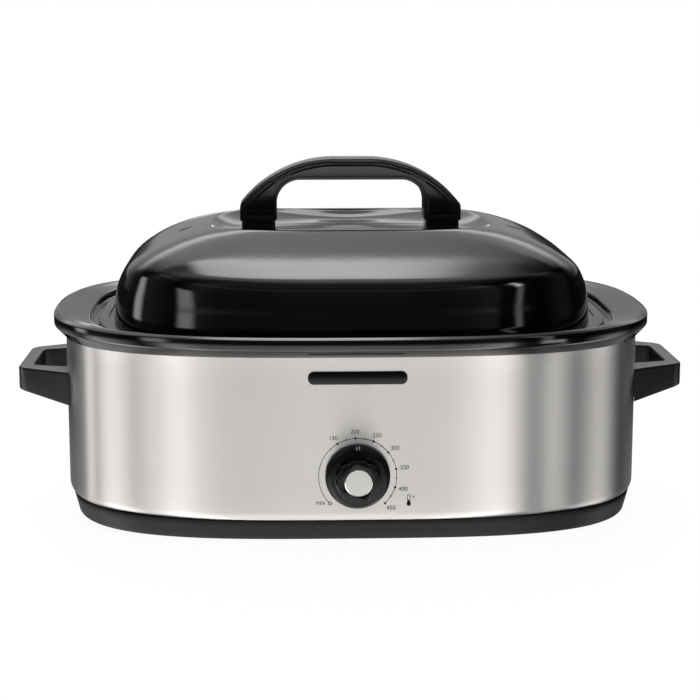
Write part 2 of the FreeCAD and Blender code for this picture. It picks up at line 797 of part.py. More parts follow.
def polyline(sketch, corners_, arcs=None, closed=True):
    """An outline of straight lines through the corners. arcs gives, for the line that starts
    at a corner, a radius that bends it to the left (positive) or right (negative)."""
    arcs = arcs or {}
    count = len(corners_)
    lines = count if closed else count - 1
    spots = [FreeCAD.Vector(float(x), float(y), 0) for x, y in corners_]
    flipped = {}
    for index in range(lines):
        a, b = spots[index], spots[(index + 1) % count]
        if index in arcs:
            radius = float(arcs[index])
            chord = b - a
            left = FreeCAD.Vector(-chord.y, chord.x, 0).normalize()
            back = math.sqrt(max(0, radius * radius - (chord.Length / 2) ** 2))
            centre = (a + b) * 0.5 + left * (-back if radius > 0 else back)
            first, last = (b, a) if radius > 0 else (a, b)
            turns = [math.atan2(point.y - centre.y, point.x - centre.x) for point in (first, last)]
            ring = Part.Circle(centre, FreeCAD.Vector(0, 0, 1), abs(radius))
            sketch.addGeometry(Part.ArcOfCircle(ring, *turns), False)
            flipped[index] = radius > 0
        else:
            sketch.addGeometry(Part.LineSegment(a, b), False)
            flipped[index] = False
    for index in range(lines if closed else lines - 1):
        after = (index + 1) % count
        end = 1 if flipped[index] else 2
        begin = 2 if flipped[after] else 1
        sketch.addConstraint(Sketcher.Constraint("Coincident", index, end, after, begin))
    for index, (x, y) in enumerate(corners_):
        line = min(index, lines - 1)
        at_start = line == index
        fix_point(sketch, line, 1 if at_start != flipped[line] else 2, x, y)
    for index, radius in arcs.items():
        constraint = sketch.addConstraint(Sketcher.Constraint("Radius", index, abs(float(radius))))
        if isinstance(radius, Dim):
            positive = radius if float(radius) > 0 else -radius
            sketch.setExpression(f"Constraints[{constraint}]", str(positive))
    return sketch


def circle(sketch, x, y, radius):
    """A full circle of the sketch."""
    centre = FreeCAD.Vector(float(x), float(y), 0)
    geometry = sketch.addGeometry(
        Part.Circle(centre, FreeCAD.Vector(0, 0, 1), float(radius)), False
    )
    fix_point(sketch, geometry, 3, x, y)
    index = sketch.addConstraint(Sketcher.Constraint("Radius", geometry, float(radius)))
    if isinstance(radius, Dim):
        sketch.setExpression(f"Constraints[{index}]", str(radius))
    return sketch


def pad(body, sketch, length, midplane=False, reverse=False):
    feature = body.newObject("PartDesign::Pad", sketch.Name + "Pad")
    feature.Profile = sketch
    bind(feature, "Length", length)
    feature.Midplane = midplane
    feature.Reversed = reverse
    doc.recompute()
    return feature


def pocket(body, sketch, length, midplane=False, reverse=False):
    """Cuts, and stops if nothing was cut."""
    before = body.Shape.Volume
    feature = body.newObject("PartDesign::Pocket", sketch.Name + "Pocket")
    feature.Profile = sketch
    bind(feature, "Length", length)
    feature.Midplane = midplane
    feature.Reversed = reverse
    doc.recompute()
    if body.Shape.Volume > before - 0.5:
        raise ValueError(f"{feature.Name} cuts nothing")
    return feature


def revolve(body, sketch, axis):
    feature = body.newObject("PartDesign::Revolution", sketch.Name + "Turn")
    feature.Profile = sketch
    feature.ReferenceAxis = (sketch, [axis])
    feature.Angle = 360
    doc.recompute()
    return feature


def soften(body, kind, amount, wanted):
    """Fillets or chamfers the edges of the tip that the test picks."""
    tip = body.Tip
    names = [f"Edge{i}" for i, edge in enumerate(tip.Shape.Edges, start=1) if wanted(edge)]
    feature = body.newObject(f"PartDesign::{kind}", f"{body.Name}{kind}{len(body.Group)}")
    feature.Base = (tip, names)
    bind(feature, "Radius" if kind == "Fillet" else "Size", amount)
    doc.recompute()
    return feature


def upright(edge):
    """True for a straight edge along Z."""
    box = edge.BoundBox
    return box.XLength < 0.01 and box.YLength < 0.01 and box.ZLength > 0.5


# ---------------------------------------------------------------- feet
def foot(label, x, y):
    body = new_body(label)
    section = new_sketch(body, label + "Section", "XZ_Plane")
    stem_top = plate_top + size.footStemOver
    polyline(
        section,
        [
            (0, 0),
            (size.footRadius - size.footEdge, 0),
            (size.footRadius, size.footEdge),
            (size.footRadius, plate_low),
            (size.footStemRadius, plate_low),
            (size.footStemRadius, plate_top),
            (size.footStemRadius + size.footStemBarb, plate_top),
            (size.footStemRadius, stem_top),
            (0, stem_top),
        ],
    )
    revolve(body, section, "V_Axis")
    return place(body, x, y)


for sx, side_name in ((-1, "left"), (1, "right")):
    for sy, end_name in ((-1, "front"), (1, "rear")):
        foot(f"foot_{end_name}_{side_name}", foot_out * sx, foot_deep * sy)


# ---------------------------------------------------------------- side handles
def wall_reach(y):
    """How far out the wrap stands at a distance from the middle of an end."""
    share = abs(float(y)) / wrap.half_width
    return wrap.half_length * (1 - share**wrap.squareness) ** (1 / wrap.squareness)


def side_handle(label, side):
    """A moulded loop: its two roots stand on the wrap, and its underside rises outwards."""
    body = new_body(label)
    # how far each corner of the roots lies inside the wrap's greatest reach
    fall_out = wrap.half_length - wall_reach(size.handleHalfRoot)
    fall_in = wrap.half_length - wall_reach(size.handleHalfOpening)
    root_out = (wrap_long + (float(size.seatGap) - fall_out)) * side
    root_in = (wrap_long + (float(size.seatGap) - fall_in)) * side
    outer = (wrap_long + size.handleOut) * side
    inner = (wrap_long + size.handleOut - size.handleBar) * side
    end_in = size.handleHalfEnd - size.handleBar
    # each root is hollowed to the wrap's own curve
    half_root, half_opening = float(size.handleHalfRoot), float(size.handleHalfOpening)
    bulge = wall_reach((half_root + half_opening) / 2) - (wall_reach(half_root) + wall_reach(half_opening)) / 2
    chord = math.hypot(half_root - half_opening, fall_out - fall_in)
    root_arc = (chord * chord / (8 * bulge) + bulge / 2) * side
    plan = new_sketch(body, label + "Plan", "XY_Plane", size.handleTop)
    polyline(
        plan,
        [
            (root_out, -size.handleHalfRoot),
            (outer, -size.handleHalfEnd),
            (outer, size.handleHalfEnd),
            (root_out, size.handleHalfRoot),
            (root_in, size.handleHalfOpening),
            (inner, end_in),
            (inner, -end_in),
            (root_in, -size.handleHalfOpening),
        ],
        {3: root_arc, 7: root_arc},
    )
    pad(body, plan, size.handleRootHeight, reverse=True)
    side_cut = new_sketch(body, label + "Slope", "XZ_Plane")
    low = size.handleTop - size.handleRootHeight
    polyline(
        side_cut,
        [
            (root_out, low),
            (outer + PAST * side, low - size.handleSlopeIn),
            (outer + PAST * side, size.handleTop - size.handleEndHeight),
            (outer, size.handleTop - size.handleEndHeight),
        ],
    )
    pocket(body, side_cut, size.handleHalfRoot * 2 + PAST, midplane=True)
    far = abs(float(outer))

    def end_corner(edge):
        return upright(edge) and abs(edge.CenterOfMass.x) > far - 1

    soften(body, "Fillet", size.handleRound, end_corner)

    def opening_corner(edge):
        x = abs(edge.CenterOfMass.x)
        return upright(edge) and abs(x - abs(float(inner))) < 1

    soften(body, "Fillet", size.handleRound / 2, opening_corner)
    wall_side = max(abs(float(root_in)), abs(float(root_out))) + 1

    def rim_edge(edge):
        box = edge.BoundBox
        away = min(abs(box.XMin), abs(box.XMax)) > wall_side or box.XLength > 12
        level = box.ZLength < 0.01 and abs(box.ZMax - float(size.handleTop)) < 0.01
        return away and level

    soften(body, "Fillet", size.handleEdge, rim_edge)
    for y in (-size.handleScrewOut, size.handleScrewOut):
        bore = new_sketch(body, f"{label}Bore{'Front' if float(y) < 0 else 'Rear'}", "YZ_Plane")
        circle(bore, y, size.handleScrewHeight, size.handleScrewRadius + size.runningGap)
        depth = wrap_long + size.handleScrewLength
        pocket(body, bore, depth, reverse=side > 0)
    return body


side_handle("side_handle_left", -1)
side_handle("side_handle_right", 1)


# ---------------------------------------------------------------- lid handle
spacer_top = dish_floor + size.spacerHeight
grip_top = spacer_top + size.gripTop
leg_inside = size.gripHalfLength - size.gripLeg
arch_top = grip_top - size.gripThickness
arch_inside = leg_inside - size.gripArch


def arch_outline(inset, floor, inside):
    """The handle seen from the front: the outer line set in by a border, and inside it
    either the arched opening or, for a sunk panel, a straight way across the opening."""
    out, corner = size.gripHalfLength - inset, spacer_top + size.gripCorner - inset / 2
    top, flat, radius = grip_top - inset, size.gripFlat, size.gripArc - inset
    outer = [(out, corner), (flat, top), (-flat, top), (-out, corner), (-out, floor)]
    points = [(out, floor)] + outer + inside
    return points, {1: -radius, 3: -radius}


def lid_handle():
    """An arch on two legs, with a sunk panel in each side face."""
    body = new_body("lid_handle")
    opening = [
        (-leg_inside, spacer_top),
        (-leg_inside, arch_top - size.gripArch),
        (-arch_inside, arch_top),
        (arch_inside, arch_top),
        (leg_inside, arch_top - size.gripArch),
        (leg_inside, spacer_top),
    ]
    points, arcs = arch_outline(Dim("0", 0), spacer_top, opening)
    arcs.update({7: size.gripArch, 9: size.gripArch})
    side_view = new_sketch(body, "HandleSide", "XZ_Plane")
    polyline(side_view, points, arcs)
    pad(body, side_view, size.gripDepth, midplane=True)
    half_depth, reach, knee = (float(d) for d in (size.gripDepth / 2, size.gripHalfLength, size.gripKnee))

    def knee_edge(edge):
        middle = edge.CenterOfMass
        return edge.BoundBox.YLength > 1 and abs(middle.x) > reach - 0.1 and middle.z > float(spacer_top) + 1

    soften(body, "Fillet", size.gripKnee, knee_edge)

    def outer_edge(edge):
        middle = edge.CenterOfMass
        on_side = edge.BoundBox.YLength < 0.01 and abs(abs(middle.y) - half_depth) < 0.01
        return on_side and (abs(middle.x) > reach - knee or middle.z > float(arch_top) + 1)

    soften(body, "Fillet", size.gripEdge, outer_edge)
    across = [
        (-leg_inside + size.gripPast / 3, spacer_top + size.gripFootBorder),
        (-arch_inside, arch_top - size.gripPast),
        (arch_inside, arch_top - size.gripPast),
        (leg_inside - size.gripPast / 3, spacer_top + size.gripFootBorder),
    ]
    points, arcs = arch_outline(size.gripBorder, spacer_top + size.gripFootBorder, across)
    for side, face in ((1, "Front"), (-1, "Rear")):
        panel = new_sketch(body, f"HandlePanel{face}", "XZ_Plane", size.gripDepth * (side / 2))
        polyline(panel, points, arcs)
        pocket(body, panel, size.gripPanel, reverse=side < 0)
    for side, leg in ((-1, "Left"), (1, "Right")):
        bore = new_sketch(body, f"HandleBore{leg}", "XY_Plane", spacer_top)
        circle(bore, size.gripScrewOut * side, 0, size.gripScrewRadius + size.runningGap)
        pocket(body, bore, size.gripScrewGrip + 1, reverse=True)
    return body


lid_handle()


def handle_spacer(label, side):
    """A heat-proof foot between the lid and one leg."""
    body = new_body(label)
    near, far = leg_inside + size.spacerInset, size.gripHalfLength - size.spacerInset
    deep = size.spacerDepth / 2
    plan = new_sketch(body, label + "Plan", "XY_Plane", dish_floor)
    polyline(plan, [(near * side, -deep), (far * side, -deep), (far * side, deep), (near * side, deep)])
    pad(body, plan, size.spacerHeight)
    soften(body, "Fillet", size.spacerRound, upright)
    bore = new_sketch(body, label + "Bore", "XY_Plane", spacer_top)
    circle(bore, size.gripScrewOut * side, 0, size.gripScrewRadius + size.screwGap)
    pocket(body, bore, size.spacerHeight + 1)
    return body


handle_spacer("lid_handle_spacer_left", -1)
handle_spacer("lid_handle_spacer_right", 1)


# ---------------------------------------------------------------- round parts
def cylinder(label, radius, height, x=0, y=0, z=0, axis=None, angle=0):
    part = doc.addObject("Part::Cylinder", label)
    bind(part, "Radius", radius)
    bind(part, "Height", height)
    return place(part, x, y, z, axis, angle)


def group(label, parts):
    """Like pieces, each its own solid, in one sub-part."""
    compound = doc.addObject("Part::Compound", label)
    compound.Links = parts
    return node(compound, label)


def fuse(label, parts):
    joined = doc.addObject("Part::MultiFuse", label)
    joined.Shapes = parts
    return joined


def cut(label, whole, tool):
    result = doc.addObject("Part::Cut", label)
    result.Base = whole
    result.Tool = tool
    return result


def pan_head_screw(label, radius, length, head_radius, head_depth, x, y, z, axis=None, angle=0):
    """A screw whose shank runs along its own +Z and whose head lies below its origin."""
    shank = cylinder(label + "Shank", radius, length)
    head = cylinder(label + "Head", head_radius, head_depth, z=-head_depth)
    return place(fuse(label, [shank, head]), x, y, z, axis, angle)


def hex_nut(label, corner_radius, depth, bore, x, y, z, axis=None, angle=0):
    prism = doc.addObject("Part::Prism", label + "Blank")
    prism.Polygon = 6
    bind(prism, "Circumradius", corner_radius)
    bind(prism, "Height", depth)
    hole = cylinder(label + "Hole", bore, depth + 2, z=-1)
    return place(cut(label, prism, hole), x, y, z, axis, angle)


# screws, washers and nuts of the lid handle
washer_low = dish_floor - size.lidWall - size.washerDepth
screws, washers = [], []
for side, name in ((-1, "Left"), (1, "Right")):
    out = size.gripScrewOut * side
    shank = size.washerDepth + size.lidWall + size.spacerHeight + size.gripScrewGrip
    screws.append(
        pan_head_screw(
            f"LidScrew{name}", size.gripScrewRadius, shank, size.screwHeadRadius, size.screwHeadDepth,
            out, 0, washer_low,
        )
    )
    ring = cylinder(f"LidWasher{name}Disc", size.washerRadius, size.washerDepth)
    hole = cylinder(
        f"LidWasher{name}Hole", size.gripScrewRadius + size.screwGap, size.washerDepth + 2, z=-1
    )
    washers.append(place(cut(f"LidWasher{name}", ring, hole), out, 0, washer_low))
group("lid_handle_screws", screws)
group("lid_handle_washers", washers)

# screws of the side handles, their heads inside the wrap
for side, name in ((-1, "left"), (1, "right")):
    screws = []
    inside = wall_reach(size.handleScrewOut + size.screwHeadRadius) - wrap.half_length
    seat = wrap_long + inside - size.wrapWall - size.seatGap
    for y, end in ((-size.handleScrewOut, "Front"), (size.handleScrewOut, "Rear")):
        screws.append(
            pan_head_screw(
                f"HandleScrew{name.title()}{end}", size.handleScrewRadius, size.handleScrewLength,
                size.screwHeadRadius, size.screwHeadDepth,
                seat * side, y, size.handleScrewHeight, (0, side, 0), 90,
            )
        )
    group(f"side_handle_screws_{name}", screws)

# studs welded under the well, which draw it down on the base, and their nuts
studs, stud_nuts, base_screws = [], [], []
stud_low = plate_low - size.studNutDepth - size.studEnd
for index, (x, y) in enumerate(stud_places):
    studs.append(
        cylinder(f"Stud{index}", size.studRadius, size.wellFloor - size.wellWall - stud_low, x, y, stud_low)
    )
    stud_nuts.append(
        hex_nut(
            f"StudNut{index}", size.studNutRadius, size.studNutDepth,
            size.studRadius + size.runningGap, x, y, plate_low - size.studNutDepth,
        )
    )
group("well_studs", studs)
group("well_stud_nuts", stud_nuts)
for index, (x, y) in enumerate(base_screw_places):
    base_screws.append(
        pan_head_screw(
            f"BaseScrew{index}", size.baseScrewRadius, size.baseScrewLength,
            size.baseScrewHeadRadius, size.baseScrewHead, x, y, size.footRise,
        )
    )
group("base_screws", base_screws)


# ---------------------------------------------------------------- knob and thermostat
# these bodies are made along their own +Z, which is then turned to point out of the front
def on_front(thing, out=0):
    """Turns a body to face -Y on the knob's axis, out from the wrap's face."""
    return place(thing, 0, -(wrap_wide + out), size.knobHeight, axis=(1, 0, 0), angle=90)


def control_knob():
    """A turned skirt and grip, fluted for the fingers, hollow behind for the fixing nut."""
    body = new_body("control_knob")
    section = new_sketch(body, "KnobSection", "XZ_Plane")
    bore = size.shaftRadius + size.runningGap
    skirt_front = size.knobGap + size.knobSkirtDepth
    edge, cap_hole = size.knobEdge, size.knobCapRadius + size.knobCapGap
    grip_end = size.knobGripRadius - size.knobGripDraft
    bore_end = size.shaftReach + size.seatGap
    cap_seat = size.knobDepth - size.knobCapDepth + size.knobCapProud
    polyline(
        section,
        [
            (bore, size.knobGap + size.knobHollowDepth),
            (size.knobHollowRadius, size.knobGap + size.knobHollowDepth),
            (size.knobHollowRadius + size.knobHollowFlare, size.knobGap),
            (size.knobSkirtRadius - edge, size.knobGap),
            (size.knobSkirtRadius, size.knobGap + edge),
            (size.knobSkirtRadius, size.knobGap + edge + size.knobSkirtLand),
            (size.knobShoulderRadius, skirt_front - edge),
            (size.knobShoulderRadius - edge, skirt_front),
            (size.knobGripRadius + edge, skirt_front),
            (size.knobGripRadius, skirt_front + edge),
            (grip_end, size.knobDepth - edge),
            (grip_end - edge, size.knobDepth),
            (cap_hole, size.knobDepth),
            (cap_hole, cap_seat),
            (0, cap_seat),
            (0, bore_end),
            (bore, bore_end),
        ],
    )
    revolve(body, section, "V_Axis")
    flute = new_sketch(body, "KnobFlute", "XY_Plane", size.knobDepth + PAST)
    circle(flute, size.knobFluteOut, 0, size.knobFlute)
    first = pocket(body, flute, size.knobDepth + PAST - skirt_front - edge)
    pattern = body.newObject("PartDesign::PolarPattern", "KnobFlutes")
    pattern.Originals = [first]
    pattern.Axis = (flute, ["N_Axis"])
    pattern.Angle = 360
    bind(pattern, "Occurrences", size.knobFlutes)
    body.Tip = pattern
    doc.recompute()
    return on_front(body)


control_knob()


def knob_cap():
    body = new_body("knob_cap")
    section = new_sketch(body, "CapSection", "XZ_Plane")
    low = size.knobDepth - size.knobCapDepth + size.knobCapProud
    top = size.knobDepth + size.knobCapProud
    polyline(
        section,
        [
            (0, low),
            (size.knobCapRadius, low),
            (size.knobCapRadius, top - size.knobEdge),
            (size.knobCapRadius - size.knobEdge, top),
            (0, top),
        ],
    )
    revolve(body, section, "V_Axis")
    return on_front(body)


knob_cap()


def thermostat_shaft():
    """The turned shaft, with a flat for the knob."""
    body = new_body("thermostat_shaft")
    section = new_sketch(body, "ShaftRound", "XY_Plane", -size.shaftInside)
    circle(section, 0, 0, size.shaftRadius)
    pad(body, section, size.shaftInside + size.shaftReach)
    flat = new_sketch(body, "ShaftFlat", "XY_Plane", size.shaftReach)
    flat_out = size.shaftRadius - size.shaftFlat
    wide = size.shaftRadius + PAST
    polyline(flat, [(-wide, flat_out), (wide, flat_out), (wide, wide), (-wide, wide)])
    pocket(body, flat, size.shaftReach - size.bushReach - size.shaftCollar)
    return on_front(body)


thermostat_shaft()


def thermostat_bush():
    """The threaded bush that clamps the thermostat to the wrap; the shaft turns in it."""
    body = new_body("thermostat_bush")
    start = size.wrapWall + size.seatGap + size.bracketWall
    section = new_sketch(body, "BushSection", "XY_Plane", -start)
    circle(section, 0, 0, size.bushRadius)
    circle(section, 0, 0, size.shaftRadius + size.runningGap)
    pad(body, section, start + size.bushReach)
    return on_front(body)


thermostat_bush()

nut = hex_nut("BushNut", size.bushNutRadius, size.bushNutDepth, size.bushRadius + size.runningGap, 0, 0, 0)
on_front(nut, size.restGap)
node(nut, "thermostat_nut")


def thermostat_bracket():
    """The plate behind the wrap that the thermostat stands on."""
    body = new_body("thermostat_bracket")
    back = size.wrapWall + size.seatGap + size.bracketWall
    face = new_sketch(body, "BracketFace", "XY_Plane", -back)
    across, up = size.bracketLength / 2, size.bracketHeight / 2
    polyline(face, [(-across, -up), (across, -up), (across, up), (-across, up)])
    pad(body, face, size.bracketWall)

    def corner(edge):
        box = edge.BoundBox
        return box.XLength < 0.01 and box.YLength < 0.01

    soften(body, "Fillet", size.bracketRound, corner)
    hole = new_sketch(body, "BracketHole", "XY_Plane")
    circle(hole, 0, 0, size.bushRadius + size.screwGap)
    pocket(body, hole, back + PAST)
    return on_front(body)


thermostat_bracket()


def thermostat_body():
    body = new_body("thermostat_body")
    front = size.wrapWall + size.seatGap + size.bracketWall
    face = new_sketch(body, "ThermostatFace", "XY_Plane", -front)
    across, up = size.thermostatLength / 2, size.thermostatHeight / 2
    polyline(face, [(-across, -up), (across, -up), (across, up), (-across, up)])
    pad(body, face, size.thermostatDepth, reverse=True)

    def corner(edge):
        box = edge.BoundBox
        return box.XLength < 0.01 and box.YLength < 0.01

    soften(body, "Fillet", size.bracketRound, corner)
    hole = new_sketch(body, "ThermostatSocket", "XY_Plane", -front)
    circle(hole, 0, 0, size.shaftRadius + size.runningGap)
    pocket(body, hole, size.shaftInside - front + size.seatGap)
    return on_front(body)


thermostat_body()


# ---------------------------------------------------------------- cord gland
def cord_gland():
    """A flanged sleeve in the rear wall, for a cord that isn't fitted. It grips the cord in its
    nose, and its bore is wider where it passes the sheet."""
    body = new_body("cord_gland")
    section = new_sketch(body, "GlandSection", "XZ_Plane")
    inner = size.wrapWall + size.glandPlay
    edge = size.glandEdge
    polyline(
        section,
        [
            (size.glandMouth, -(inner + size.glandFlangeWall)),
            (size.glandFlange - edge, -(inner + size.glandFlangeWall)),
            (size.glandFlange - edge, -inner),
            (size.glandNeck, -inner),
            (size.glandNeck, size.glandPlay),
            (size.glandFlange, size.glandPlay),
            (size.glandFlange, size.glandFlangeWall - edge),
            (size.glandFlange - edge, size.glandFlangeWall),
            (size.glandNose, size.glandFlangeWall),
            (size.glandNose - edge, size.glandNoseLength),
            (size.glandBore, size.glandNoseLength),
            (size.glandBore, size.glandStep),
            (size.glandMouth, size.glandStep),
        ],
    )
    revolve(body, section, "V_Axis")
    return place(body, 0, wrap_wide, size.glandHeight, axis=(1, 0, 0), angle=-90)


cord_gland()


# ---------------------------------------------------------------- wiring
terminal_front = size.terminalBack - size.terminalDepth / 2
well_under = size.wellFloor - size.wellWall
fuse_height = well_under - size.fuseRadius - size.restGap
terminal_way = plate_top + size.terminalWay


def terminal_block():
    """A block on the bottom plate with three ways for the leads, each with its screw hole."""
    body = new_body("terminal_block")
    plan = new_sketch(body, "TerminalPlan", "XY_Plane", plate_top)
    across, back = size.terminalLength / 2, size.terminalDepth / 2
    x, y = size.terminalOut, size.terminalBack
    polyline(plan, [(x - across, y - back), (x + across, y - back), (x + across, y + back), (x - across, y + back)])
    pad(body, plan, size.terminalHeight)
    soften(body, "Fillet", size.terminalRound, upright)
    wells = new_sketch(body, "TerminalScrewHoles", "XY_Plane", plate_top + size.terminalHeight)
    ways = new_sketch(body, "TerminalWays", "XZ_Plane", -(terminal_front + size.terminalDepth))
    for step in (-1, 0, 1):
        circle(wells, x + size.terminalPitch * step, y, size.terminalScrewRadius)
        circle(ways, x + size.terminalPitch * step, terminal_way, size.leadRadius + size.terminalPlay)
    pocket(body, wells, size.terminalScrewDepth)
    pocket(body, ways, size.terminalDepth + PAST, reverse=True)
    return body


terminal_block()


def thermal_fuse():
    body = new_body("thermal_fuse")
    section = new_sketch(body, "FuseSection", "YZ_Plane", -(size.fuseOut + size.fuseLength / 2))
    circle(section, -size.fuseFront, fuse_height, size.fuseRadius)
    pad(body, section, size.fuseLength)
    return body


thermal_fuse()


def fuse_clip():
    """A strap under the fuse, its two flanges spot-welded to the well."""
    body = new_body("fuse_clip")
    section = new_sketch(body, "ClipSection", "YZ_Plane", -(size.fuseOut + size.clipLength / 2))
    inner = size.fuseRadius + size.runningGap
    outer = inner + size.clipWall
    y, low, top, reach = -size.fuseFront, well_under - size.clipWall, well_under, size.clipFlange
    polyline(
        section,
        [
            (y - outer - reach, low), (y - outer, low), (y - outer, fuse_height),
            (y + outer, fuse_height), (y + outer, low), (y + outer + reach, low),
            (y + outer + reach, top), (y + inner, top), (y + inner, fuse_height),
            (y - inner, fuse_height), (y - inner, top), (y - outer - reach, top),
        ],
        {2: -outer, 8: inner},
    )
    pad(body, section, size.clipLength)
    return body


fuse_clip()


def lead(label, route):
    """A round lead along straight runs joined by tangent arcs."""
    points = [FreeCAD.Vector(*(float(v) for v in point)) for point in route]
    edges, here = [], points[0]
    for before, corner, after in zip(points, points[1:], points[2:]):
        back, on = (before - corner).normalize(), (after - corner).normalize()
        half = (math.pi - back.getAngle(on)) / 2
        room = 0.45 * min((before - corner).Length, (after - corner).Length)
        reach = min(room, float(size.leadBend) * math.tan(half))
        start, end = corner + back * reach, corner + on * reach
        rise = reach / math.tan(half)
        middle = corner + (back + on).normalize() * (math.hypot(reach, rise) - rise)
        edges.append(Part.LineSegment(here, start).toShape())
        edges.append(Part.Arc(start, middle, end).toShape())
        here = end
    edges.append(Part.LineSegment(here, points[-1]).toShape())
    path = Part.Wire(edges)
    section = Part.Wire(Part.makeCircle(float(size.leadRadius), points[0], points[1] - points[0]))
    tube = path.makePipeShell([section], True, True)
    expected = math.pi * float(size.leadRadius) ** 2 * path.Length
    print(f"{label}: length {path.Length:.1f}, volume {tube.Volume / expected:.3f} of section times length")
    return formed(label, tube)


band_way = float(well_bend + size.bandUp) + 2.5
band = well_outside(band_way).grown(float(size.seatGap + size.bandWall) + 0.2)


def band_face(x):
    """How far in front of the middle the band's face lies."""
    return band.half_width * (1 - abs(x / band.half_length) ** band.squareness) ** (1 / band.squareness)


thermostat_back = wrap.half_width - float(size.wrapWall + size.seatGap + size.bracketWall + size.thermostatDepth)
thermostat_low = float(size.knobHeight - size.thermostatHeight / 2)
rise_lane = thermostat_back - 4.2
block_x, block_y, way = float(size.terminalOut), float(terminal_front + 6), float(terminal_way)
pitch = float(size.terminalPitch)
fuse_y, fuse_z = -float(size.fuseFront), float(fuse_height)
fuse_end = float(size.fuseLength) / 2
lead(
    "lead_terminal_to_thermostat",
    [
        (block_x, block_y, way), (block_x, 20, way), (40, -60, way), (20, -130, way + 3),
        (12, -rise_lane, way + 10), (12, -rise_lane, thermostat_low + 6),
        (12, -thermostat_back, thermostat_low + 6),
    ],
)
lead(
    "lead_terminal_to_fuse",
    [
        (block_x - pitch, block_y, way), (block_x - pitch, 50, way), (10, 0, way + 4), (-20, fuse_y, way + 10),
        (-fuse_end - 27, fuse_y, fuse_z), (fuse_end - float(size.fuseOut), fuse_y, fuse_z),
    ],
)
lead(
    "lead_fuse_to_band",
    [
        (-fuse_end - float(size.fuseOut), fuse_y, fuse_z), (-90, fuse_y, fuse_z), (-112, fuse_y - 20, 24),
        (-100, -120, 20), (-70, -(rise_lane - 4), 24), (-60, -rise_lane, 40),
        (-60, -(band_face(60) + 6), 66), (-60, -(band_face(60) + 6), band_way),
        (-60, -band_face(60), band_way),
    ],
)
lead(
    "lead_thermostat_to_band",
    [
        (-10, -(thermostat_back + 6), thermostat_low + float(size.thermostatHeight)),
        (-10, -(thermostat_back + 6), band_way), (-10, -band_face(10), band_way),
    ],
)


# ---------------------------------------------------------------- rack
def roasting_rack():
    """Welded wire: a frame with rounded corners, cross wires on it, and a lifting loop at
    each end whose legs are the rack's feet."""
    body = new_body("roasting_rack")
    frame_height = pan_floor + size.rackFoot
    out = size.wellHalfLength - size.panInLong - size.rackInLong
    deep = size.wellHalfWidth - size.panInWide - size.rackInWide
    bend = size.rackCorner
    frame = new_sketch(body, "RackFrame", "XY_Plane", frame_height)
    polyline(
        frame,
        [
            (-(out - bend), -deep), (out - bend, -deep), (out, -(deep - bend)), (out, deep - bend),
            (out - bend, deep), (-(out - bend), deep), (-out, deep - bend), (-out, -(deep - bend)),
        ],
        {1: -bend, 3: -bend, 5: -bend, 7: -bend},
    )
    ring = new_sketch(body, "RackFrameWire", "YZ_Plane")
    circle(ring, -deep, frame_height, size.rackWire)
    pipe = body.newObject("PartDesign::AdditivePipe", "RackFramePipe")
    pipe.Profile = ring
    pipe.Spine = (frame, [])
    doc.recompute()
    wire = new_sketch(body, "RackCrossWire", "XZ_Plane")
    reach = out - bend
    circle(wire, -reach, frame_height + size.rackWire + size.rackCross - size.rackWeld, size.rackCross)
    rod = pad(body, wire, deep * 2 + size.rackWire, midplane=True)
    row = body.newObject("PartDesign::LinearPattern", "RackCrossWires")
    row.Originals = [rod]
    row.Direction = (wire, ["H_Axis"])
    bind(row, "Length", reach * 2)
    bind(row, "Occurrences", size.rackCrossWires)
    body.Tip = row
    doc.recompute()
    half = size.rackLoopWidth / 2
    top, low = frame_height + size.rackLoopHeight, pan_floor
    turn = size.rackLoopBend
    for side, end in ((-1, "Left"), (1, "Right")):
        path = new_sketch(body, f"RackLoop{end}", "YZ_Plane", out * side)
        polyline(
            path,
            [(-half, low), (-half, top - turn), (-(half - turn), top), (half - turn, top), (half, top - turn), (half, low)],
            {1: turn, 3: turn},
            closed=False,
        )
        section = new_sketch(body, f"RackLoopWire{end}", "XY_Plane", low)
        circle(section, out * side, -half, size.rackWire)
        loop = body.newObject("PartDesign::AdditivePipe", f"RackLoopPipe{end}")
        loop.Profile = section
        loop.Spine = (path, [])
        doc.recompute()
    return body


roasting_rack()

doc.recompute()
for thing in doc.Objects:
    for state in thing.State:
        if state in ("Invalid", "Error"):
            raise ValueError(f"{thing.Label} is {state}")
for label, thing in nodes.items():
    if thing.Shape.isNull() or not thing.Shape.isValid() or not thing.Shape.Solids:
        raise ValueError(f"{label} has no valid solid")
os.makedirs("parts", exist_ok=True)
for label, thing in nodes.items():
    thing.Shape.exportStep(f"parts/{label}.step")
    box = thing.Shape.BoundBox
    print(
        f"{label:26s} {len(thing.Shape.Solids)} {thing.Shape.Volume / 1000:8.2f} cm3"
        f"  x {box.XMin:7.1f} {box.XMax:7.1f}  y {box.YMin:7.1f} {box.YMax:7.1f}"
        f"  z {box.ZMin:6.1f} {box.ZMax:6.1f}"
    )
print(len(nodes), "sub-parts")
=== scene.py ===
import math

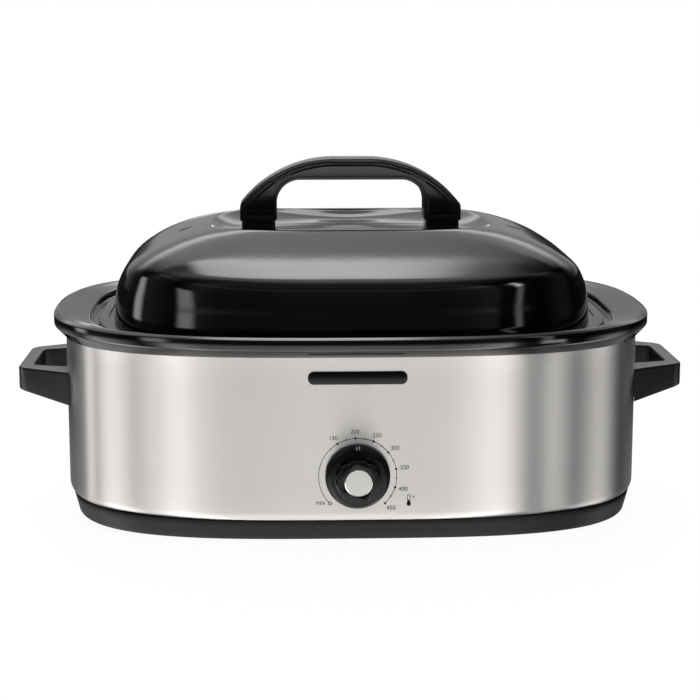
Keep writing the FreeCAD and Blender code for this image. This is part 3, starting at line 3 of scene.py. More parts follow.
import bmesh
import bpy
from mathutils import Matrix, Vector


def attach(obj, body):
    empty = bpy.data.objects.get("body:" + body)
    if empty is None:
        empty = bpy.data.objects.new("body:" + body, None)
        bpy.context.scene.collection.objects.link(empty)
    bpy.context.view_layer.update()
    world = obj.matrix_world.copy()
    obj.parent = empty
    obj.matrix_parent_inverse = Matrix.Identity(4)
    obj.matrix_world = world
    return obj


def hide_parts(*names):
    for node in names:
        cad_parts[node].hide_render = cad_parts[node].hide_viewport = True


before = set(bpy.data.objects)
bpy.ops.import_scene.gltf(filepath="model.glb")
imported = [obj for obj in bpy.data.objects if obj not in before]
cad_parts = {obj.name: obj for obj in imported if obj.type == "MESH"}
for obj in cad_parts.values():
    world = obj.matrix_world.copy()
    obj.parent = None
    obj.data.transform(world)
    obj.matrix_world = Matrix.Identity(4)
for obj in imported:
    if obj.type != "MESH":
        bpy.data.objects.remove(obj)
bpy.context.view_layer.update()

# Sizes in the dictionaries are millimetres unless a note says otherwise. +Z is up, the knob faces -Y.
# A form is (half length, half width, squareness): squareness 2 is an ellipse, higher is nearer a rectangle.
mm = 0.001
weld = 0.001 * mm  # points closer than this become one
thirds = (0.33, 0.67, 1)  # where rings are laid along a straight wall
body = {
    "segments": 192,  # points on each ring
    "cornerCrowding": 0.6,  # how closely they crowd at its corners
    "wrap": (269, 194, 3.1),
    "rim": (281, 211, 2.74),
    "recess": (246, 192, 3.2),
    "well": (219, 181, 3.2),
    "base": (264.5, 190, 3.4),
    "baseTop": 20.5,
    "rimTop": 187,
    "lip": 183.6,
    "shelf": 176.5,
}


def toLinear(hexColour):
    parts = [int(hexColour[i : i + 2], 16) / 255 for i in (1, 3, 5)]
    return [c / 12.92 if c <= 0.04045 else ((c + 0.055) / 1.055) ** 2.4 for c in parts] + [1]


def addNode(tree, kind, settings=None, inputs=None):
    # an input is a plain value, a socket, or a node whose first output is meant
    node = tree.nodes.new(kind)
    for key, value in (settings or {}).items():
        setattr(node, key, value)
    for key, value in (inputs or {}).items():
        if isinstance(value, bpy.types.Node):
            value = value.outputs[0]
        if isinstance(value, bpy.types.NodeSocket):
            tree.links.new(value, node.inputs[key])
        else:
            node.inputs[key].default_value = value
    return node


def newMaterial(name, colour, roughness, **shader):
    material = bpy.data.materials.new(name)
    material.use_nodes = True
    surface = material.node_tree.nodes["Principled BSDF"]
    surface.inputs["Base Color"].default_value = toLinear(colour)
    surface.inputs["Roughness"].default_value = roughness
    for socket, value in shader.items():
        surface.inputs[socket].default_value = value
    return material, material.node_tree, surface


def grainBump(tree, surface, width, strength, rise, stretch=(1, 1, 1)):
    # noise on Object coordinates, from the grain's width and height in mm
    coords = addNode(tree, "ShaderNodeTexCoord")
    mapping = addNode(
        tree, "ShaderNodeMapping", {}, {"Vector": coords.outputs["Object"], "Scale": stretch}
    )
    noise = addNode(
        tree,
        "ShaderNodeTexNoise",
        {},
        {"Vector": mapping, "Scale": 1 / (width * mm), "Detail": 3, "Roughness": 0.6},
    )
    bump = addNode(
        tree,
        "ShaderNodeBump",
        {},
        {"Height": noise, "Strength": strength, "Distance": rise * mm},
    )
    tree.links.new(bump.outputs[0], surface.inputs["Normal"])
    return noise


# The grain of moulded, blasted, plated and printed surfaces is really about 0.02 to 0.2 mm wide.
# It is drawn several times as coarse, because it would not show at all at its own size.

# porcelain enamel fired on pressed steel: deep glassy black with a slight orange peel
enamel, tree, surface = newMaterial("porcelainEnamelBlack", "#0b0b0c", 0.09, IOR=1.52)
grainBump(tree, surface, width=11.1, strength=0.05, rise=0.6)

# 430 stainless sheet, belt-brushed along the band, so highlights stretch up and down
# the brush lines are really about 0.1 mm apart and are drawn coarser, to show
brushing = {
    "spacing": 0.625, "stretch": (0.03, 0.03, 1), "turn": 0.25,
    "noise": (0.3, 0.7), "roughness": (0.41, 0.45),
}
stainless, tree, surface = newMaterial(
    "stainlessBeltBrushed", "#dedbd8", 0.43, Metallic=1.0, Anisotropic=1.0
)
surface.inputs["Anisotropic Rotation"].default_value = brushing["turn"]
tangent = addNode(tree, "ShaderNodeTangent", {"direction_type": "RADIAL", "axis": "Z"})
tree.links.new(tangent.outputs[0], surface.inputs["Tangent"])
noise = grainBump(
    tree, surface, width=brushing["spacing"], strength=0.12, rise=0.05, stretch=brushing["stretch"]
)
shade = addNode(
    tree,
    "ShaderNodeMapRange",
    {},
    {
        "Value": noise,
        "From Min": brushing["noise"][0],
        "From Max": brushing["noise"][1],
        "To Min": brushing["roughness"][0],
        "To Max": brushing["roughness"][1],
    },
)
tree.links.new(shade.outputs[0], surface.inputs["Roughness"])

# phenolic of the handles, moulded in a finely spark-eroded tool: near black with a soft sheen
phenolic, tree, surface = newMaterial("phenolicBlackMoulded", "#1b1b1c", 0.25, IOR=1.56)
grainBump(tree, surface, width=0.714, strength=0.18, rise=0.12)

# moulded polypropylene of the base: duller than the handles
basePlastic, tree, surface = newMaterial("polypropyleneBlackMoulded", "#121213", 0.48, IOR=1.49)
surface.inputs["Specular IOR Level"].default_value = 0.3
grainBump(tree, surface, width=0.909, strength=0.2, rise=0.15)

# polished phenolic of the knob and the badge plate: darker than the handles, with a weak sheen
knobPlastic, tree, surface = newMaterial("phenolicBlackPolished", "#0b0b0c", 0.28, IOR=1.5)
surface.inputs["Specular IOR Level"].default_value = 0.24
grainBump(tree, surface, width=2, strength=0.05, rise=0.1)

# aluminium insert of the knob, blasted and lacquered: an even pale silver
capSilver, tree, surface = newMaterial("aluminiumBlastedLacquered", "#c3c3bf", 0.32, Metallic=1.0)
grainBump(tree, surface, width=0.4, strength=0.08, rise=0.05)

# screen-printed inks, matt: black on the steel, white on the knob
ink, tree, surface = newMaterial("screenInkBlack", "#0b0b0b", 0.6)
surface.inputs["Specular IOR Level"].default_value = 0.2
grainBump(tree, surface, width=0.333, strength=0.05, rise=0.02)
whiteInk, tree, surface = newMaterial("screenInkWhite", "#e6e6e2", 0.5)
grainBump(tree, surface, width=0.333, strength=0.05, rise=0.02)

# moulded nitrile rubber of the feet and the gland: matt black
rubber, tree, surface = newMaterial("nitrileRubberMoulded", "#151515", 0.62)
grainBump(tree, surface, width=1.11, strength=0.2, rise=0.1)

# zinc-plated steel of the screws, plates and brackets: pale blue-grey, half bright
zinc, tree, surface = newMaterial("steelZincPlated", "#b9bcc0", 0.34, Metallic=1.0)
grainBump(tree, surface, width=1.43, strength=0.1, rise=0.1)

# chromed steel wire of the rack: bright, with clear reflections
chrome, tree, surface = newMaterial("wireChromePlated", "#d4d5d8", 0.12, Metallic=1.0)
grainBump(tree, surface, width=2, strength=0.04, rise=0.1)

# turned brass of the thermostat's bush and nut: yellow, half bright
brass, tree, surface = newMaterial("brassTurned", "#b08d4b", 0.3, Metallic=1.0)
grainBump(tree, surface, width=0.833, strength=0.08, rise=0.1)

# matted glass fibre of the insulation: dull straw colour with tufts about 4 mm wide
fibre, tree, surface = newMaterial("glassFibreMatted", "#d9cda2", 0.9)
grainBump(tree, surface, width=3.85, strength=0.8, rise=2)

# moulded urea resin of the thermostat, terminal block and fuse: cream, half gloss
housing, tree, surface = newMaterial("ureaResinMoulded", "#d8d2c2", 0.4)
grainBump(tree, surface, width=1.25, strength=0.1, rise=0.1)

# braided glass sleeve of the leads: dull cream, with the braid about 0.7 mm wide
sleeve, tree, surface = newMaterial("glassBraidSleeve", "#d6d0c0", 0.8)
grainBump(tree, surface, width=0.667, strength=0.6, rise=0.4)
print("materials ready")


def ringPoint(form, turn, height):
    halfLength, halfWidth, squareness = form
    turn += body["cornerCrowding"] / 4 * math.sin(4 * turn)
    across, along = math.cos(turn), math.sin(turn)
    reach = (abs(across) ** squareness + abs(along) ** squareness) ** (-1 / squareness)
    return Vector((halfLength * reach * across, halfWidth * reach * along, height))


def ringOf(form, height):
    turns = [2 * math.pi * step / body["segments"] for step in range(body["segments"])]
    return [ringPoint(form, turn, height) for turn in turns]


def grown(form, by, byWidth=None):
    return (form[0] + by, form[1] + (by if byWidth is None else byWidth), form[2])


def between(first, last, share):
    return tuple(a + (b - a) * share for a, b in zip(first, last))


def quarterRound(start, end, uprightFirst, steps=6):
    # stations of a quarter round from one (form, height) to another
    (formA, heightA), (formB, heightB) = start, end
    stations = []
    for step in range(1, steps + 1):
        turn = math.pi / 2 * step / steps
        slow, fast = 1 - math.cos(turn), math.sin(turn)
        inward, rise = (slow, fast) if uprightFirst else (fast, slow)
        stations.append((between(formA, formB, inward), heightA + (heightB - heightA) * rise))
    return stations


def gridOfRings(name, rings, material, fillEnds=False, sharpFrom=38):
    # a grid rolled into a tube, one row of it for each ring of points
    count = len(rings[0])
    bm = bmesh.new()
    bmesh.ops.create_grid(bm, x_segments=count, y_segments=len(rings) - 1, size=1)
    bm.verts.ensure_lookup_table()
    for vert in bm.verts:
        row, column = divmod(vert.index, count + 1)
        vert.co = rings[row][column % count] * mm
    bmesh.ops.remove_doubles(bm, verts=bm.verts, dist=weld)
    if fillEnds:
        bmesh.ops.holes_fill(bm, edges=[e for e in bm.edges if e.is_boundary], sides=0)
    return finished(name, bm, material, sharpFrom)


def finished(name, bm, material, sharpFrom=38):
    bmesh.ops.recalc_face_normals(bm, faces=bm.faces)
    for face in bm.faces:
        face.smooth = True
    for edge in bm.edges:
        if edge.is_manifold and edge.calc_face_angle(0) > math.radians(sharpFrom):
            edge.smooth = False
    mesh = bpy.data.meshes.new(name)
    bm.to_mesh(mesh)
    bm.free()
    mesh.materials.append(material)
    piece = bpy.data.objects.new(name, mesh)
    bpy.context.scene.collection.objects.link(piece)
    return piece


def pressing(name, stations, material, fillEnds=False):
    return gridOfRings(name, [ringOf(*station) for station in stations], material, fillEnds)


def stands(piece, bodyName, slot, *nodes):
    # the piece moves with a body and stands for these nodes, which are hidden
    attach(piece, bodyName)
    if nodes:
        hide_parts(*nodes)
    return piece


def addBlock(bm, size, middle):
    verts = bmesh.ops.create_cube(bm, size=1)["verts"]
    bmesh.ops.scale(bm, verts=verts, vec=[length * mm for length in size])
    bmesh.ops.translate(bm, verts=verts, vec=[place * mm for place in middle])


def edgesAlong(bm, axis):
    # the edges of a block that run along an axis: 0, 1 or 2
    return [e for e in bm.edges if abs(e.verts[0].co[axis] - e.verts[1].co[axis]) > 0.1 * mm]


def roundEdges(bm, edges, radius, segments, clamped=False):
    bmesh.ops.bevel(
        bm,
        geom=edges,
        offset=radius * mm,
        segments=segments,
        profile=0.5,
        affect="EDGES",
        material=-1,
        clamp_overlap=clamped,
    )


# steel wrap, curled in at the bottom and leaning out a little at the top
wrap = {
    "wall": 0.8, "curl": 5, "curlHeight": 8, "flange": 6, "top": 178.5, "sideRings": 8,
    "leanFrom": 164.9, "leanOver": 2, "lean": 0.22,
}
outer, inner = body["wrap"], grown(body["wrap"], -wrap["wall"])
seat = grown(body["wrap"], -wrap["curl"])
low, curlTop = body["baseTop"], body["baseTop"] + wrap["curlHeight"]
sideHeight, sideRings = wrap["leanFrom"] - curlTop, wrap["sideRings"]
leaning = grown(outer, wrap["lean"])
start = (grown(seat, -wrap["flange"]), low)
stations = [start, (seat, low)]
stations += quarterRound((seat, low), (outer, curlTop), False, 8)
stations += [(outer, curlTop + sideHeight * ring / sideRings) for ring in range(1, sideRings + 1)]
stations += [(leaning, wrap["leanFrom"] + wrap["leanOver"]), (leaning, wrap["top"])]
stations += [(inner, wrap["top"]), (inner, curlTop)]
stations += quarterRound((inner, curlTop), (seat, low + wrap["wall"]), True)
stations += [(grown(seat, -wrap["flange"]), low + wrap["wall"]), start]
stands(pressing("steelWrap", stations, stainless), "base", "stainless", "outer_wrap")

# base ring, with a ledge at its top for the wrap and one at its bottom for the bottom plate
base = {"low": 2.5, "taper": (4, 1.5), "wall": 3, "round": 2, "topRound": 1, "ledge": 15}
foot, side = grown(body["base"], -base["taper"][0], -base["taper"][1]), body["base"]
low, top, wall = base["low"], body["baseTop"], base["wall"]
sideLow, sideTop = low + base["round"], top - base["topRound"]
ledgeLow, ledgeTop = grown(foot, -wall - base["ledge"]), grown(side, -wall - base["ledge"] / 2)
start = (grown(foot, -base["round"]), low)
stations = [start] + quarterRound(start, (foot, sideLow), False, 4)
stations += [(between(foot, side, share), sideLow + (sideTop - sideLow) * share) for share in thirds]
stations += quarterRound((side, sideTop), (grown(side, -base["topRound"]), top), True, 3)
stations += [(ledgeTop, top), (ledgeTop, top - wall), (grown(side, -wall), top - wall)]
stations += [(grown(foot, -wall), low + wall), (ledgeLow, low + wall), (ledgeLow, low), start]
stands(pressing("baseMoulding", stations, basePlastic), "base", "phenolic", "base_ring")

# well with its rolled rim
well = {
    "wall": 1.2, "edge": 3, "floor": 40, "draft": 12, "bend": 16, "sideDrop": 3,
    "skirtLow": 175.4, "tuckLow": 167.2, "tuckGap": 0.3, "tuckShare": 0.7,
    "lean": 0.4, "neckLean": 0.5, "shelfInset": 1, "shelfBend": 2, "shelfRound": 0.8,
    "lipRound": 1.2, "lipDrop": 1, "recessShare": 0.8,
    # the way in and the rise along the skirt's bottom edge
    "hem": ((0.8, -0.6), (0.2, 0.4), (0, 1.4)),
    # the way in and the drop along the rolled top edge, which is nearly flat in its middle
    "roll": ((0, 3), (0.15, 2.5), (0.5, 2.15), (1, 1.85), (3.9, 0.35), (4.5, 0.1), (5.2, 0)),
}
wall, edge, bend, lean = well["wall"], well["edge"], well["bend"], well["lean"]
rim, recess, mouth = body["rim"], body["recess"], body["well"]
top, lip, shelf, floor = body["rimTop"], body["lip"], body["shelf"], well["floor"]
tuck, skirtLow = grown(body["wrap"], well["tuckGap"]), well["skirtLow"]
shelfCorner, shelfBend = grown(recess, -well["shelfInset"]), grown(mouth, well["shelfBend"])
neckTop, shelfRound = shelf - well["shelfBend"], well["shelfRound"]
foot, pad = grown(mouth, -well["draft"]), grown(mouth, -well["draft"] - bend)
stations = [(pad, floor - wall)]
stations += quarterRound(stations[-1], (grown(foot, wall), floor + bend), False)
stations += [(grown(mouth, wall), neckTop)]
stations += quarterRound(stations[-1], (grown(shelfBend, well["neckLean"]), shelf - wall), True, 3)
stations += [(grown(shelfCorner, wall), shelf - wall), (grown(recess, wall + lean), lip - wall)]
stations += [(grown(rim, -edge), top - wall)]
stations += quarterRound(stations[-1], (grown(rim, -wall), top - edge), False, 4)
stations += [(grown(rim, -wall - lean), skirtLow + wall / 2), (tuck, well["tuckLow"] + wall / 2)]
stations += [(grown(tuck, wall * well["tuckShare"]), well["tuckLow"])]
stations += [(grown(rim, -way), skirtLow + rise) for way, rise in well["hem"]]
stations += [(rim, top - edge - well["sideDrop"])]
stations += [(grown(rim, -way), top - drop) for way, drop in well["roll"]]
rollEnd, lipEdge = stations[-1][0], grown(recess, wall + well["lipRound"])
stations += [(between(rollEnd, lipEdge, share), top + (lip - top) * share) for share in thirds]
stations += quarterRound(stations[-1], (recess, lip - wall - well["lipDrop"]), False, 5)
stations += [(between(recess, shelfCorner, well["recessShare"]), shelf + shelfRound)]
stations += [(grown(shelfCorner, -shelfRound), shelf), (shelfBend, shelf)]
stations += quarterRound(stations[-1], (mouth, neckTop), False, 4)
stations += [(foot, floor + bend)]
stations += quarterRound(stations[-1], (pad, floor), True)
stands(pressing("enamelWell", stations, enamel, fillEnds=True), "base", "enamel", "well_liner")

# roasting pan, hanging by its rim, with a groove for the lid
pan = {
    "rim": (238, 190, 3.2), "groove": (228.3, 187.1, 3.2), "mouth": (213, 174.5, 3.2),
    "wall": 1, "edge": 1.5, "low": 176.8, "top": 180.3, "grooveFloor": 179, "grooveLean": 0.7,
    "floor": 46, "draft": 9, "bend": 14, "neck": 3,
}
wall, edge, bend, neck = pan["wall"], pan["edge"], pan["bend"], pan["neck"]
rim, mouth, low, top, floor = pan["rim"], pan["mouth"], pan["low"], pan["top"], pan["floor"]
groove = pan["grooveFloor"]
foot, pad = grown(mouth, -pan["draft"]), grown(mouth, -pan["draft"] - bend)
stations = [(pad, floor - wall)]
stations += quarterRound(stations[-1], (grown(foot, wall), floor + bend), False)
stations += [(grown(mouth, wall), groove - neck)]
stations += quarterRound(stations[-1], (grown(mouth, neck), groove - wall), True, 3)
stations += [(grown(rim, -wall), groove - wall), (grown(rim, -wall), low), (rim, low), (rim, top - edge)]
stations += quarterRound(stations[-1], (grown(rim, -edge), top), True, 5)
stations += [(grown(pan["groove"], pan["grooveLean"]), top), (pan["groove"], groove)]
stations += [(grown(mouth, neck), groove)]
stations += quarterRound(stations[-1], (mouth, groove - neck), False, 5)
stations += [(foot, floor + bend)]
stations += quarterRound(stations[-1], (pad, floor), True)
stands(pressing("enamelPan", stations, enamel, fillEnds=True), "pan", "enamel", "roasting_pan")
print("pressings ready")

# lid: a dome on an upright wall, with a dish sunk into its top
lid = {
    "edge": (223.5, 185.8, 3.3), "low": 179.3, "wallTop": 201.3, "lean": (1.7, 0.5), "wall": 1,
    "plateau": (112, 98, 8), "height": 266.5,
    # share of the rise, the way in lengthwise, the way in widthwise, the squareness
    "course": (
        (0.17, 0.024, 0.006, 0.02), (0.34, 0.071, 0.040, 0.08), (0.46, 0.126, 0.130, 0.22),
        (0.565, 0.212, 0.275, 0.45), (0.70, 0.354, 0.478, 0.72), (0.84, 0.555, 0.704, 0.92),
        (0.94, 0.765, 0.880, 1.0), (1.0, 1.0, 1.0, 1.0),
    ),
    "dish": (136.5, 88.8, 3.5), "dishSlope": (30, 38), "dishFloor": 255, "dishCurve": 1.8,
    "dishRunOut": 1.7, "crest": 1.1,
    # a shallow hollow behind the handle: place and half size, lengthwise and widthwise, and depth
    "hollow": (0, 77, 46, 11, 2.8),
    "courseSteps": 240, "halvings": 22, "domeRings": 44, "domeTo": 0.74,
    # rings up the wall, from the dome to near the crest, at mm outside the crest, and on into the dish
    "wallRings": (0, 0.25, 0.5, 0.75),
    "shoulderRings": (0.17, 0.34, 0.51, 0.67, 0.83),
    "crestRings": (8, 5, 3.2, 2, 1.2, 0.6, 0, -0.6, -1.2, -2, -3.2, -5, -8),
    "dishRings": (0.12, 0.24, 0.36, 0.48, 0.6, 0.72, 0.86, 1),
}
vent = {"out": 158, "length": 12, "width": 3, "cutHeight": 40, "cutMiddle": 250, "endRound": 0.49}
lid["bed"] = grown(lid["dish"], -lid["dishSlope"][0], -lid["dishSlope"][1])
wallTop = grown(lid["edge"], -lid["lean"][0], -lid["lean"][1])
knots = [(*wallTop, lid["wallTop"])]
for rise, inward, inwardWide, square in lid["course"]:
    height = lid["wallTop"] + (lid["height"] - lid["wallTop"]) * rise
    shares = (inward, inwardWide, square)
    knots.append((*(a + (b - a) * s for a, b, s in zip(wallTop, lid["plateau"], shares)), height))


def smoothCourse(place):
    # Catmull-Rom through the knots, spaced by their distance apart; place runs from 0 to 1
    marks = [0]
    for a, b in zip(knots, knots[1:]):
        marks.append(marks[-1] + math.dist((a[0], a[1], a[3]), (b[0], b[1], b[3])) ** 0.5)
    at = place * marks[-1]
    index = max(i for i in range(len(knots) - 1) if marks[i] <= at + 1e-9)
    t0, t1 = marks[index], marks[index + 1]
    share = (at - t0) / (t1 - t0)
    s2, s3 = share**2, share**3

    def slope(i, axis):
        before, after = max(i - 1, 0), min(i + 1, len(knots) - 1)
        return (knots[after][axis] - knots[before][axis]) / (marks[after] - marks[before])

    result = []
    for axis in range(4):
        a, b = knots[index][axis], knots[index + 1][axis]
        slopeA, slopeB = slope(index, axis) * (t1 - t0), slope(index + 1, axis) * (t1 - t0)
        places = (2 * s3 - 3 * s2 + 1) * a + (3 * s2 - 2 * s3) * b
        result.append(places + (s3 - 2 * s2 + share) * slopeA + (s3 - s2) * slopeB)
    return result


domeCourse = [smoothCourse(step / lid["courseSteps"]) for step in range(lid["courseSteps"] + 1)]


def ringReach(form, x, y):
    # 1 on the ring, more outside it
    return (abs(x / form[0]) ** form[2] + abs(y / form[1]) ** form[2]) ** (1 / form[2])


def domeHeight(x, y):
    # height of the dome's outer face over a point, found where its ring passes through it
    low, high = 0, len(domeCourse) - 1
    if ringReach(domeCourse[high], x, y) <= 1:
        return lid["height"]
    while high - low > 1:
        middle = (low + high) // 2
        if ringReach(domeCourse[middle], x, y) > 1:
            high = middle
        else:
            low = middle
    a, b = ringReach(domeCourse[low], x, y), ringReach(domeCourse[high], x, y)
    share = min(max((1 - a) / (b - a), 0), 1)
    return domeCourse[low][3] + (domeCourse[high][3] - domeCourse[low][3]) * share


def turningPlace(high, isBefore):
    # the place between 0 and high where isBefore stops being true, found by halving
    low = 0
    for _ in range(lid["halvings"]):
        middle = (low + high) / 2
        if isBefore(middle):
            low = middle
        else:
            high = middle
    return low


def bowlHeight(x, y):
    # height of the sunk panel, whose curve also runs on past its lip
    bed, dish = lid["bed"], lid["dish"]
    if ringReach(bed, x, y) <= 1:
        return lid["dishFloor"]
    share = turningPlace(lid["dishRunOut"], lambda place: ringReach(between(bed, dish, place), x, y) > 1)
    return lid["dishFloor"] + (lid["height"] - lid["dishFloor"]) * share ** lid["dishCurve"]


def lidHeight(x, y):
    # the lower of dome and sunk panel, with a rounded crest between them, less the hollow
    dome, bowl = domeHeight(x, y), bowlHeight(x, y)
    share = max(lid["crest"] - abs(dome - bowl), 0) / lid["crest"]
    placeX, placeY, halfLength, halfWidth, depth = lid["hollow"]
    hollow = depth * math.exp(-(((x - placeX) / halfLength) ** 2) - ((y - placeY) / halfWidth) ** 2)
    return min(dome, bowl) - share * share * lid["crest"] / 4 - hollow * (dome > bowl)


def crestPlace(outer, inner):
    # how far from outer to inner the dome meets the sunk panel
    def onDome(place):
        spot = outer.lerp(inner, place)
        return domeHeight(spot.x, spot.y) < bowlHeight(spot.x, spot.y)

    return turningPlace(1, onDome)


def lidSurface(drop):
    # rings from the bottom edge over the dome and its crest into the dish, drop inside the outer face
    rings = []
    edgeForm, topForm = grown(lid["edge"], -drop), grown(wallTop, -drop)
    for share in lid["wallRings"]:
        height = lid["low"] + (lid["wallTop"] - lid["low"]) * share
        rings.append(ringOf(between(edgeForm, topForm, share), height))
    for step in range(lid["domeRings"] + 1):
        *form, height = smoothCourse(lid["domeTo"] * step / lid["domeRings"])
        rings.append(ringOf(grown(form, -drop), height - drop))
    outerRing = ringOf(smoothCourse(lid["domeTo"])[:3], 0)
    ways = list(zip(outerRing, ringOf(lid["bed"], 0)))
    crests = [crestPlace(outer, inner) for outer, inner in ways]

    def ringAt(shareOf):
        ring = []
        for (outer, inner), crest in zip(ways, crests):
            point = outer.lerp(inner, shareOf(crest, (outer - inner).length))
            point.z = lidHeight(point.x, point.y) - drop
            ring.append(point)
        return ring

    near = lid["crestRings"]
    for part in lid["shoulderRings"]:
        rings.append(ringAt(lambda crest, way: (crest - near[0] / way) * part))
    for off in near:
        rings.append(ringAt(lambda crest, way: crest - off / way))
    for part in lid["dishRings"]:
        rings.append(ringAt(lambda crest, way: 1 - (1 - crest + near[-1] / way) * (1 - part)))
    return rings


outside, inside = lidSurface(0), lidSurface(lid["wall"])
lidRings = list(reversed(inside)) + outside
lidShell = gridOfRings("enamelLid", lidRings, enamel, fillEnds=True, sharpFrom=50)
for side in (-1, 1):
    bm = bmesh.new()
    block = (vent["length"], vent["width"], vent["cutHeight"])
    addBlock(bm, block, (side * vent["out"], 0, vent["cutMiddle"]))
    roundEdges(bm, edgesAlong(bm, 2), vent["width"] * vent["endRound"], 5)
    cutter = finished("ventCutter", bm, enamel)
    cut = lidShell.modifiers.new("vent", "BOOLEAN")
    cut.object, cut.operation, cut.solver = cutter, "DIFFERENCE", "EXACT"
    bpy.context.view_layer.update()
    mesh = bpy.data.meshes.new_from_object(lidShell.evaluated_get(bpy.context.evaluated_depsgraph_get()))
    lidShell.modifiers.clear()
    lidShell.data = mesh
    bpy.data.objects.remove(cutter)
stands(lidShell, "lid", "enamel", "lid_shell", "lid_panel")
print("lid ready")

# mouldings and wire that keep the frame's own shape, with their meshes merged and shaded by angle
moulding = {"flatBelow": 0.5, "arrisFrom": 30, "panelFacing": 0.97}
# the lid handle's raised panel: border, slope and height, the opening's half width and top, least area
handlePanel = {"border": 2.4, "slope": 1.3, "rise": 2.2, "opening": (73, 311), "least": 100}


def raisePanel(bm, facing, panel):
    # the panel stands proud along the arch's outer side and runs out flush at the opening
    least = panel["least"] * mm * mm
    broad = [f for f in bm.faces if f.calc_area() > least]
    faces = [f for f in broad if f.normal.y * facing > moulding["panelFacing"]]
    border, slope, rise = (panel[key] * mm for key in ("border", "slope", "rise"))
    bmesh.ops.inset_region(bm, faces=faces, thickness=border, use_even_offset=True)
    bmesh.ops.inset_region(bm, faces=faces, thickness=slope, depth=rise, use_even_offset=True)
    halfOpening, openingTop = panel["opening"]
    for vert in {v for f in faces for v in f.verts}:
        if abs(vert.co.x) < halfOpening * mm and vert.co.z < openingTop * mm:
            vert.co.y -= facing * rise


def smoothCopy(node, bodyName, slot, material, sharpFrom=32, arris=0, panel=None):
    bm = bmesh.new()
    bm.from_mesh(bpy.data.objects[node].data)
    bmesh.ops.remove_doubles(bm, verts=bm.verts, dist=weld)
    flat = math.radians(moulding["flatBelow"])
    bmesh.ops.dissolve_limit(bm, angle_limit=flat, verts=bm.verts, edges=bm.edges)
    if arris:
        least = math.radians(moulding["arrisFrom"])
        sharp = [e for e in bm.edges if e.is_manifold and e.calc_face_angle(0) > least]
        roundEdges(bm, sharp, arris, 2, clamped=True)
    if panel:
        raisePanel(bm, -1, panel)
        raisePanel(bm, 1, panel)
    name = "".join(word.title() for word in node.split("_"))
    piece = finished(name[0].lower() + name[1:] + "Piece", bm, material, sharpFrom)
    return stands(piece, bodyName, slot, node)


smoothCopy("lid_handle", "lid", "phenolic", phenolic, arris=0.4, panel=handlePanel)
smoothCopy("lid_handle_spacer_left", "lid", "phenolic", phenolic)
smoothCopy("lid_handle_spacer_right", "lid", "phenolic", phenolic)
smoothCopy("side_handle_left", "base", "phenolic", phenolic)
smoothCopy("side_handle_right", "base", "phenolic", phenolic)
smoothCopy("control_knob", "knob", "phenolic", knobPlastic, arris=0.3)
smoothCopy("knob_cap", "knob", "cap_metal", capSilver)
smoothCopy("roasting_rack", "rack", "wire_chrome", chrome, sharpFrom=60)
print("mouldings ready")

# pieces shown as the frame has them
plainNodes = {
    rubber: ["foot_front_left", "foot_front_right", "foot_rear_left", "foot_rear_right", "cord_gland"],
    zinc: [
        "bottom_plate", "well_studs", "well_stud_nuts", "base_screws", "lid_handle_screws",
        "lid_handle_washers", "side_handle_screws_left", "side_handle_screws_right",
        "thermostat_bracket", "thermostat_shaft", "heater_band", "fuse_clip",
    ],
    brass: ["thermostat_bush", "thermostat_nut"],
    fibre: ["insulation_blanket"],
    housing: ["thermostat_body", "terminal_block", "thermal_fuse"],
    sleeve: [
        "lead_terminal_to_thermostat", "lead_terminal_to_fuse", "lead_fuse_to_band",
        "lead_thermostat_to_band",
    ],
}
for material, names in plainNodes.items():
    for name in names:
        node = bpy.data.objects[name]
        node.data.materials.clear()
        node.data.materials.append(material)
print("inner pieces ready")

# dial printed on the wrap; turns are degrees from the top, + clockwise
dial = {
    "height": 61, "arc": 34.3, "line": 0.5, "sweep": (-134.7, 135.8), "gap": 2, "arcSteps": 120,
    "stand": 0.12, "dotSides": 28, "bigDot": 1.05, "smallDot": 0.7, "startRing": (1.7, 1.0),
    "majors": {150: -30.8, 200: -3.4, 250: 24, 300: 51.4, 350: 79, 400: 107, 450: 135.5},
    "minors": (-44.3, -17, 10.4, 37.7, 65.4, 93, 121.5),
    # figures: their height, how far out, and how much farther to the sides
    "figure": 3.9, "figureOut": 40.2, "figureSpread": 1.6, "sizePerHeight": 1.38,
    "minHeight": 3.4, "minAway": 4.2,
    # the unit beside the thermometer: place and height
    "unit": (47.2, 41.6, 2.7),
}
# a plain thermometer beside the scale; the fill's place and size are shares of the stem
gauge = {
    "x": 45, "z": 39, "width": 2.6, "height": 10, "bulb": 1.9, "line": 0.5,
    "fillDrop": 1 / 6, "fillWidth": 0.5, "fillHeight": 0.4,
}


def wrapFront(x):
    halfLength, halfWidth, squareness = body["wrap"]
    return -halfWidth * (1 - abs(x / halfLength) ** squareness) ** (1 / squareness)


def dialSpot(radius, degrees):
    turn = math.radians(degrees)
    return radius * math.sin(turn), dial["height"] + radius * math.cos(turn)


def layOnWrap(bm):
    # flat print in the x-z plane, laid on the wrap's curve
    for vert in bm.verts:
        vert.co.y = (wrapFront(vert.co.x / mm) - dial["stand"]) * mm


def printDot(bm, x, z, radius, inner=0):
    # a dot, or a ring where an inner radius is given
    sides = dial["dotSides"]
    verts = bmesh.ops.create_circle(bm, segments=sides, radius=radius * mm, cap_ends=not inner)["verts"]
    if inner:
        verts += bmesh.ops.create_circle(bm, segments=sides, radius=inner * mm)["verts"]
        bmesh.ops.bridge_loops(bm, edges=list({e for v in verts for e in v.link_edges}))
    for vert in verts:
        vert.co = Vector((vert.co.x + x * mm, 0, vert.co.y + z * mm))


